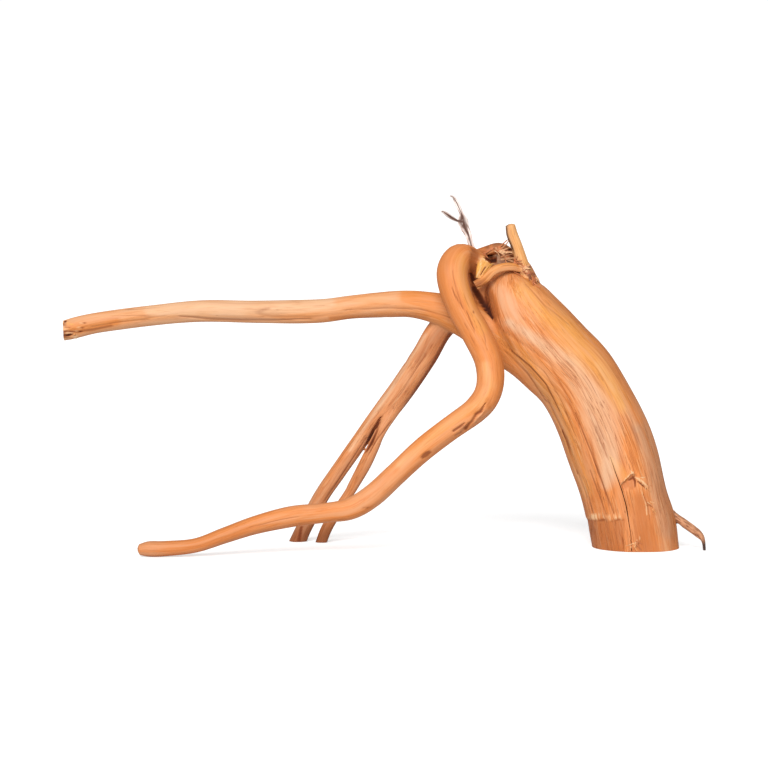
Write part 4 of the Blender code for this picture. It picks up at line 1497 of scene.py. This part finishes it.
@dataclass(frozen=True)
class PeeledWood:
    """Peeled root wood, air dried: pale and orange streaks along the grain, half matt, dark in its cracks and
    in its painted shade.
    """

    pale: str = "#cfa380"
    orange: str = "#cd7c40"
    straw: str = "#da9a44"
    brown: str = "#7c3c18"
    streak: str = "#9c4f20"
    fibre: str = "#dcb184"
    crack_and_shade: str = "#3a1508"
    bark: str = "#4c3124"
    torn: str = "#e0bd92"

    def streaks(self, tree: bpy.types.NodeTree, wide: float, long: float, detail: float) -> Any:
        """Noise drawn out along the grain, in both limbs' grain, mixed where limbs meet.

        Args:
            tree: the material's nodes.
            wide: width of a streak across the grain in millimetres.
            long: its length along the grain in millimetres.
            detail: how many finer layers it has.

        Returns:
            A socket with values round 0.5.
        """
        found = []
        for grain in Grain:
            place = add(tree, "ShaderNodeAttribute", attribute_name=grain.value)
            sizes = {"Vector": place.outputs["Vector"], "Scale": (1 / wide, 1 / wide, 1 / long)}
            scaled = add(tree, "ShaderNodeMapping", sizes)
            kind = {"Vector": scaled.outputs[0], "Scale": 1.0, "Detail": detail, "Roughness": 0.55}
            noise = add(tree, "ShaderNodeTexNoise", kind)
            found.append(noise.outputs["Fac"])
        share = add(tree, "ShaderNodeAttribute", attribute_name="grain_mix")
        mixed = add(tree, "ShaderNodeMix", {0: share.outputs["Fac"], 2: found[0], 3: found[1]})
        return mixed.outputs[0]

    def build(self) -> bpy.types.Material:
        """Makes the material."""
        material, tree = blank("peeled_wood")
        broad = self.streaks(tree, 8.0, 80.0, 2.0)
        patch = self.streaks(tree, 5.0, 30.0, 2.0)
        middle = self.streaks(tree, 2.2, 34.0, 3.0)
        fine = self.streaks(tree, 0.8, 15.0, 3.0)
        lines = self.streaks(tree, 1.8, 60.0, 2.0)
        hairs = self.streaks(tree, 0.9, 30.0, 2.0)
        lined = add(tree, "ShaderNodeAttribute", attribute_name="lined").outputs["Fac"]
        tint = add(tree, "ShaderNodeAttribute", attribute_name="tint")
        tones = add(tree, "ShaderNodeSeparateXYZ", {0: tint.outputs["Vector"]})
        marked = add(tree, "ShaderNodeAttribute", attribute_name="marks")
        marks = add(tree, "ShaderNodeSeparateXYZ", {0: marked.outputs["Vector"]})

        def remap(value: Any, low: float, high: float, start: float = 0.0, end: float = 1.0) -> Any:
            """A smooth ramp of a value."""
            limits = {"Value": value, "From Min": low, "From Max": high, "To Min": start, "To Max": end}
            return add(tree, "ShaderNodeMapRange", limits, interpolation_type="SMOOTHSTEP").outputs[0]

        def mix(share: Any, first: Any, second: Any, how: str = "MIX") -> bpy.types.NodeSocket:
            """One colour over another."""
            both = {0: share, 6: first, 7: second}
            return add(tree, "ShaderNodeMix", both, data_type="RGBA", blend_type=how).outputs[2]

        def sums(first: Any, second: Any, how: str = "MULTIPLY") -> bpy.types.NodeSocket:
            """One sum of two values, kept between 0 and 1."""
            both = {0: first, 1: second}
            return add(tree, "ShaderNodeMath", both, operation=how, use_clamp=True).outputs[0]

        def cracks(value: Any, width: float) -> bpy.types.NodeSocket:
            """Thin lines where a noise passes through its middle value."""
            apart = sums(sums(value, 0.5, "SUBTRACT"), sums(0.5, value, "SUBTRACT"), "MAXIMUM")
            return remap(apart, width, width * 0.2)

        # Warm and pale zones are broken up by broad streaks, as sapwood shows through in patches.
        warmth = sums(tones.outputs[0], remap(broad, 0.3, 0.7, -0.2, 0.2), "ADD")
        warmth = sums(warmth, remap(patch, 0.35, 0.65, -0.12, 0.12), "ADD")
        colour = mix(warmth, linear(self.pale), linear(self.orange))
        colour = mix(sums(tones.outputs[2], remap(patch, 0.3, 0.6, 0.5, 1.2)), colour, linear(self.straw))
        dense = sums(lined, remap(patch, 0.35, 0.65, 0.45, 1.0))
        colour = mix(sums(remap(middle, 0.5, 0.3, 0.0, 0.26), lined), colour, linear(self.streak))
        colour = mix(sums(remap(fine, 0.5, 0.68, 0.0, 0.42), dense), colour, linear(self.fibre))
        colour = mix(sums(remap(fine, 0.5, 0.32, 0.0, 0.38), dense), colour, linear(self.streak))
        line = sums(sums(cracks(lines, 0.016), remap(broad, 0.42, 0.58, 0.05, 0.55)), lined)
        hair = sums(sums(cracks(hairs, 0.02), remap(patch, 0.5, 0.62, 0.0, 0.6)), lined)
        line = sums(line, hair, "MAXIMUM")
        colour = mix(line, colour, linear(self.brown))
        # Towards brown: the limbs' own darker tones, and painted shade in the hollow, on sides turned from
        # the light and under other limbs.
        colour = mix(tones.outputs[1], colour, linear(self.brown))
        torn = sums(marks.outputs[2], remap(fine, 0.35, 0.55, 0.3, 1.0))
        colour = mix(torn, colour, linear(self.torn))
        bark = sums(marks.outputs[1], remap(middle, 0.35, 0.55, 0.5, 1.0))
        colour = mix(bark, colour, linear(self.bark))
        # Dark cracks and lines, and painted shade in the hollow, the hole under the collar, the fork of the
        # legs and under the strap.
        colour = mix(remap(marks.outputs[0], 0.0, 0.6), colour, linear(self.brown))
        colour = mix(remap(marks.outputs[0], 0.35, 1.0), colour, linear(self.crack_and_shade))
        rough = sums(remap(middle, 0.3, 0.7, 0.45, 0.62), sums(marks.outputs[0], 0.4), "ADD")
        height = add(tree, "ShaderNodeMath", {0: fine, 1: middle}, operation="ADD")
        height = add(tree, "ShaderNodeMath", {0: height.outputs[0], 1: line}, operation="SUBTRACT")
        height = add(tree, "ShaderNodeMath", {0: height.outputs[0], 1: lined}, operation="MULTIPLY")
        shader = dressed(tree, colour, height.outputs[0], (0.6, 0.0003))
        tree.links.new(rough, shader.inputs["Roughness"])
        shader.inputs["IOR"].default_value = 1.45
        shader.inputs["Specular IOR Level"].default_value = 0.3
        return material


@dataclass(frozen=True)
class TornFibre:
    """Torn bast and sapwood fibre: thin silky strips from straw to red brown, each of one tone."""

    light: str = "#e6b98a"
    middle: str = "#c87848"
    dark: str = "#6b3a1e"
    name: str = "torn_fibre"
    rough: float = 0.65

    def build(self) -> bpy.types.Material:
        """Makes the material."""
        material, tree = blank(self.name)
        tone = add(tree, "ShaderNodeAttribute", attribute_name="fibre")
        tones = (0.0, self.dark), (0.45, self.middle), (0.75, self.middle), (1.0, self.light)
        stops = [(place, linear(colour)) for place, colour in tones]
        ramp = add(tree, "ShaderNodeValToRGB", {0: tone.outputs["Fac"]}, stops=stops)
        place = add(tree, "ShaderNodeTexCoord")
        kind = {"Vector": place.outputs["Object"], "Scale": 900.0, "Detail": 2.0}
        noise = add(tree, "ShaderNodeTexNoise", kind)
        limits = {"From Min": 0.35, "From Max": 0.65, "To Min": 0.0, "To Max": 0.5}
        shade = add(tree, "ShaderNodeMapRange", {"Value": noise.outputs["Fac"], **limits})
        both = {0: shade.outputs[0], 6: ramp.outputs[0], 7: linear(self.dark)}
        colour = add(tree, "ShaderNodeMix", both, data_type="RGBA").outputs[2]
        shader = dressed(tree, colour, noise.outputs["Fac"], (0.4, 0.0002))
        shader.inputs["Roughness"].default_value = self.rough
        return material


@dataclass(frozen=True)
class WeatheredBark:
    """Old dry bark and root skin: grey brown, matt, pale on its ribs, dark in its trough or at its knots."""

    name: str
    mask: str
    pale: str
    body: str
    dark: str
    rough: float = 0.8

    def build(self) -> bpy.types.Material:
        """Makes the material."""
        material, tree = blank(self.name)
        grain = add(tree, "ShaderNodeAttribute", attribute_name=Grain.FIRST.value)
        sizes = {"Vector": grain.outputs["Vector"], "Scale": (1.6, 1.6, 0.22)}
        scaled = add(tree, "ShaderNodeMapping", sizes)
        noise = add(tree, "ShaderNodeTexNoise", {"Vector": scaled.outputs[0], "Scale": 1.0, "Detail": 3.0})
        stops = [(0.3, linear(self.dark)), (0.42, linear(self.body)), (0.56, linear(self.pale))]
        ramp = add(tree, "ShaderNodeValToRGB", {0: noise.outputs["Fac"]}, stops=stops)
        place = add(tree, "ShaderNodeAttribute", attribute_name=self.mask)
        both = {0: place.outputs["Fac"], 6: ramp.outputs[0], 7: linear(self.dark)}
        colour = add(tree, "ShaderNodeMix", both, data_type="RGBA").outputs[2]
        shader = dressed(tree, colour, noise.outputs["Fac"], (0.6, 0.0003))
        shader.inputs["Roughness"].default_value = self.rough
        return material


@dataclass
class Studio:
    """The pale floor, the soft lights and the camera."""

    floor_size: float = 60.0
    floor_colour: str = "#e6e6e6"
    floor_glow: float = 0.5
    key_energy: float = 3.8
    key_width: float = 42.0
    key_height: float = 31.0
    key_side: float = -10.0
    surround: float = 0.34
    backdrop: float = 1.05

    def build(self) -> None:
        """Sets up everything round the root."""
        self.floor()
        self.lights()
        self.camera()
        bpy.context.scene.view_settings.view_transform = "Standard"

    def floor(self) -> None:
        """A plain pale floor, a hair under the root's foot."""
        bpy.ops.object.select_all(action="DESELECT")
        bpy.ops.mesh.primitive_plane_add(size=self.floor_size, location=(0, 0, -0.0002))
        floor = bpy.context.object
        floor.name = "studio_floor"
        material, tree = blank("matt_white_floor")
        shader = tree.nodes["Principled BSDF"]
        shader.inputs["Base Color"].default_value = linear(self.floor_colour)
        shader.inputs["Roughness"].default_value = 0.9
        shader.inputs["Specular IOR Level"].default_value = 0.1
        glow = add(tree, "ShaderNodeEmission", {"Color": (1, 1, 1, 1), "Strength": self.floor_glow})
        both = add(tree, "ShaderNodeAddShader", {0: shader.outputs[0], 1: glow.outputs[0]})
        seen = seen_by_camera(tree, shader.outputs[0], both.outputs[0])
        tree.links.new(seen, tree.nodes["Material Output"].inputs["Surface"])
        floor.data.materials.append(material)

    def lights(self) -> None:
        """A broad key from the upper left front, and a pale surround that looks white behind the root."""
        data = bpy.data.lights.new("key", "SUN")
        data.energy = self.key_energy
        data.angle = math.radians(self.key_width)
        lamp = bpy.data.objects.new("key", data)
        lamp.rotation_euler = (math.radians(90 - self.key_height), 0, math.radians(self.key_side))
        bpy.context.scene.collection.objects.link(lamp)
        world = bpy.data.worlds.new("pale_surround")
        bpy.context.scene.world = world
        world.use_nodes = True
        tree = world.node_tree
        soft = tree.nodes["Background"]
        soft.inputs["Color"].default_value = (1, 1, 1, 1)
        soft.inputs["Strength"].default_value = self.surround
        seen = add(tree, "ShaderNodeBackground", {"Color": (1, 1, 1, 1), "Strength": self.backdrop})
        both = seen_by_camera(tree, soft.outputs[0], seen.outputs[0])
        tree.links.new(both, tree.nodes["World Output"].inputs["Surface"])

    def camera(self) -> None:
        """A long lens a little above the root, level with its middle."""
        data = bpy.data.cameras.new("camera")
        data.lens = VIEW_LENS
        data.sensor_width = VIEW_SENSOR
        data.clip_start, data.clip_end = 0.05, 200.0
        made = bpy.data.objects.new("camera", data)
        made.location = [v * MM for v in VIEW_FROM]
        made.rotation_euler = (math.radians(90 - VIEW_RISE), 0, 0)
        bpy.context.scene.collection.objects.link(made)
        bpy.context.scene.camera = made


def corners(box: Any) -> list[list[float]]:
    """A box's two corners as plain lists."""
    return [[float(v) for v in corner] for corner in box]


def main() -> None:
    """Builds the root's pieces in order, and the studio round them."""
    logging.basicConfig(level=logging.INFO, format="%(message)s")
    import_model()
    Studio().build()
    wood = PeeledWood().build()
    root = RootWood()
    put_on(root.build(), wood)
    fibre = TornFibre().build()
    flake = TornFibre("#e3bd8e", "#d2935a", "#a45b2c", "torn_flake").build()
    put_on(TornFibres(root, "torn_fibres", BUNDLES, 5).build(), fibre)
    put_on(TornFibres(root, "torn_flakes", FLAKES, 6).build(), flake)
    twig = WeatheredBark("dry_twig_bark", "trough", "#efe2da", "#c4aca2", "#553528").build()
    put_on(DryTwig().build(), twig)
    hair = WeatheredBark("hair_root_skin", "dark", "#b98460", "#96603f", "#3a2217").build()
    put_on(HairRoot().build(), hair)
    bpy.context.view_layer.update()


if __name__ == "__main__":
    main()
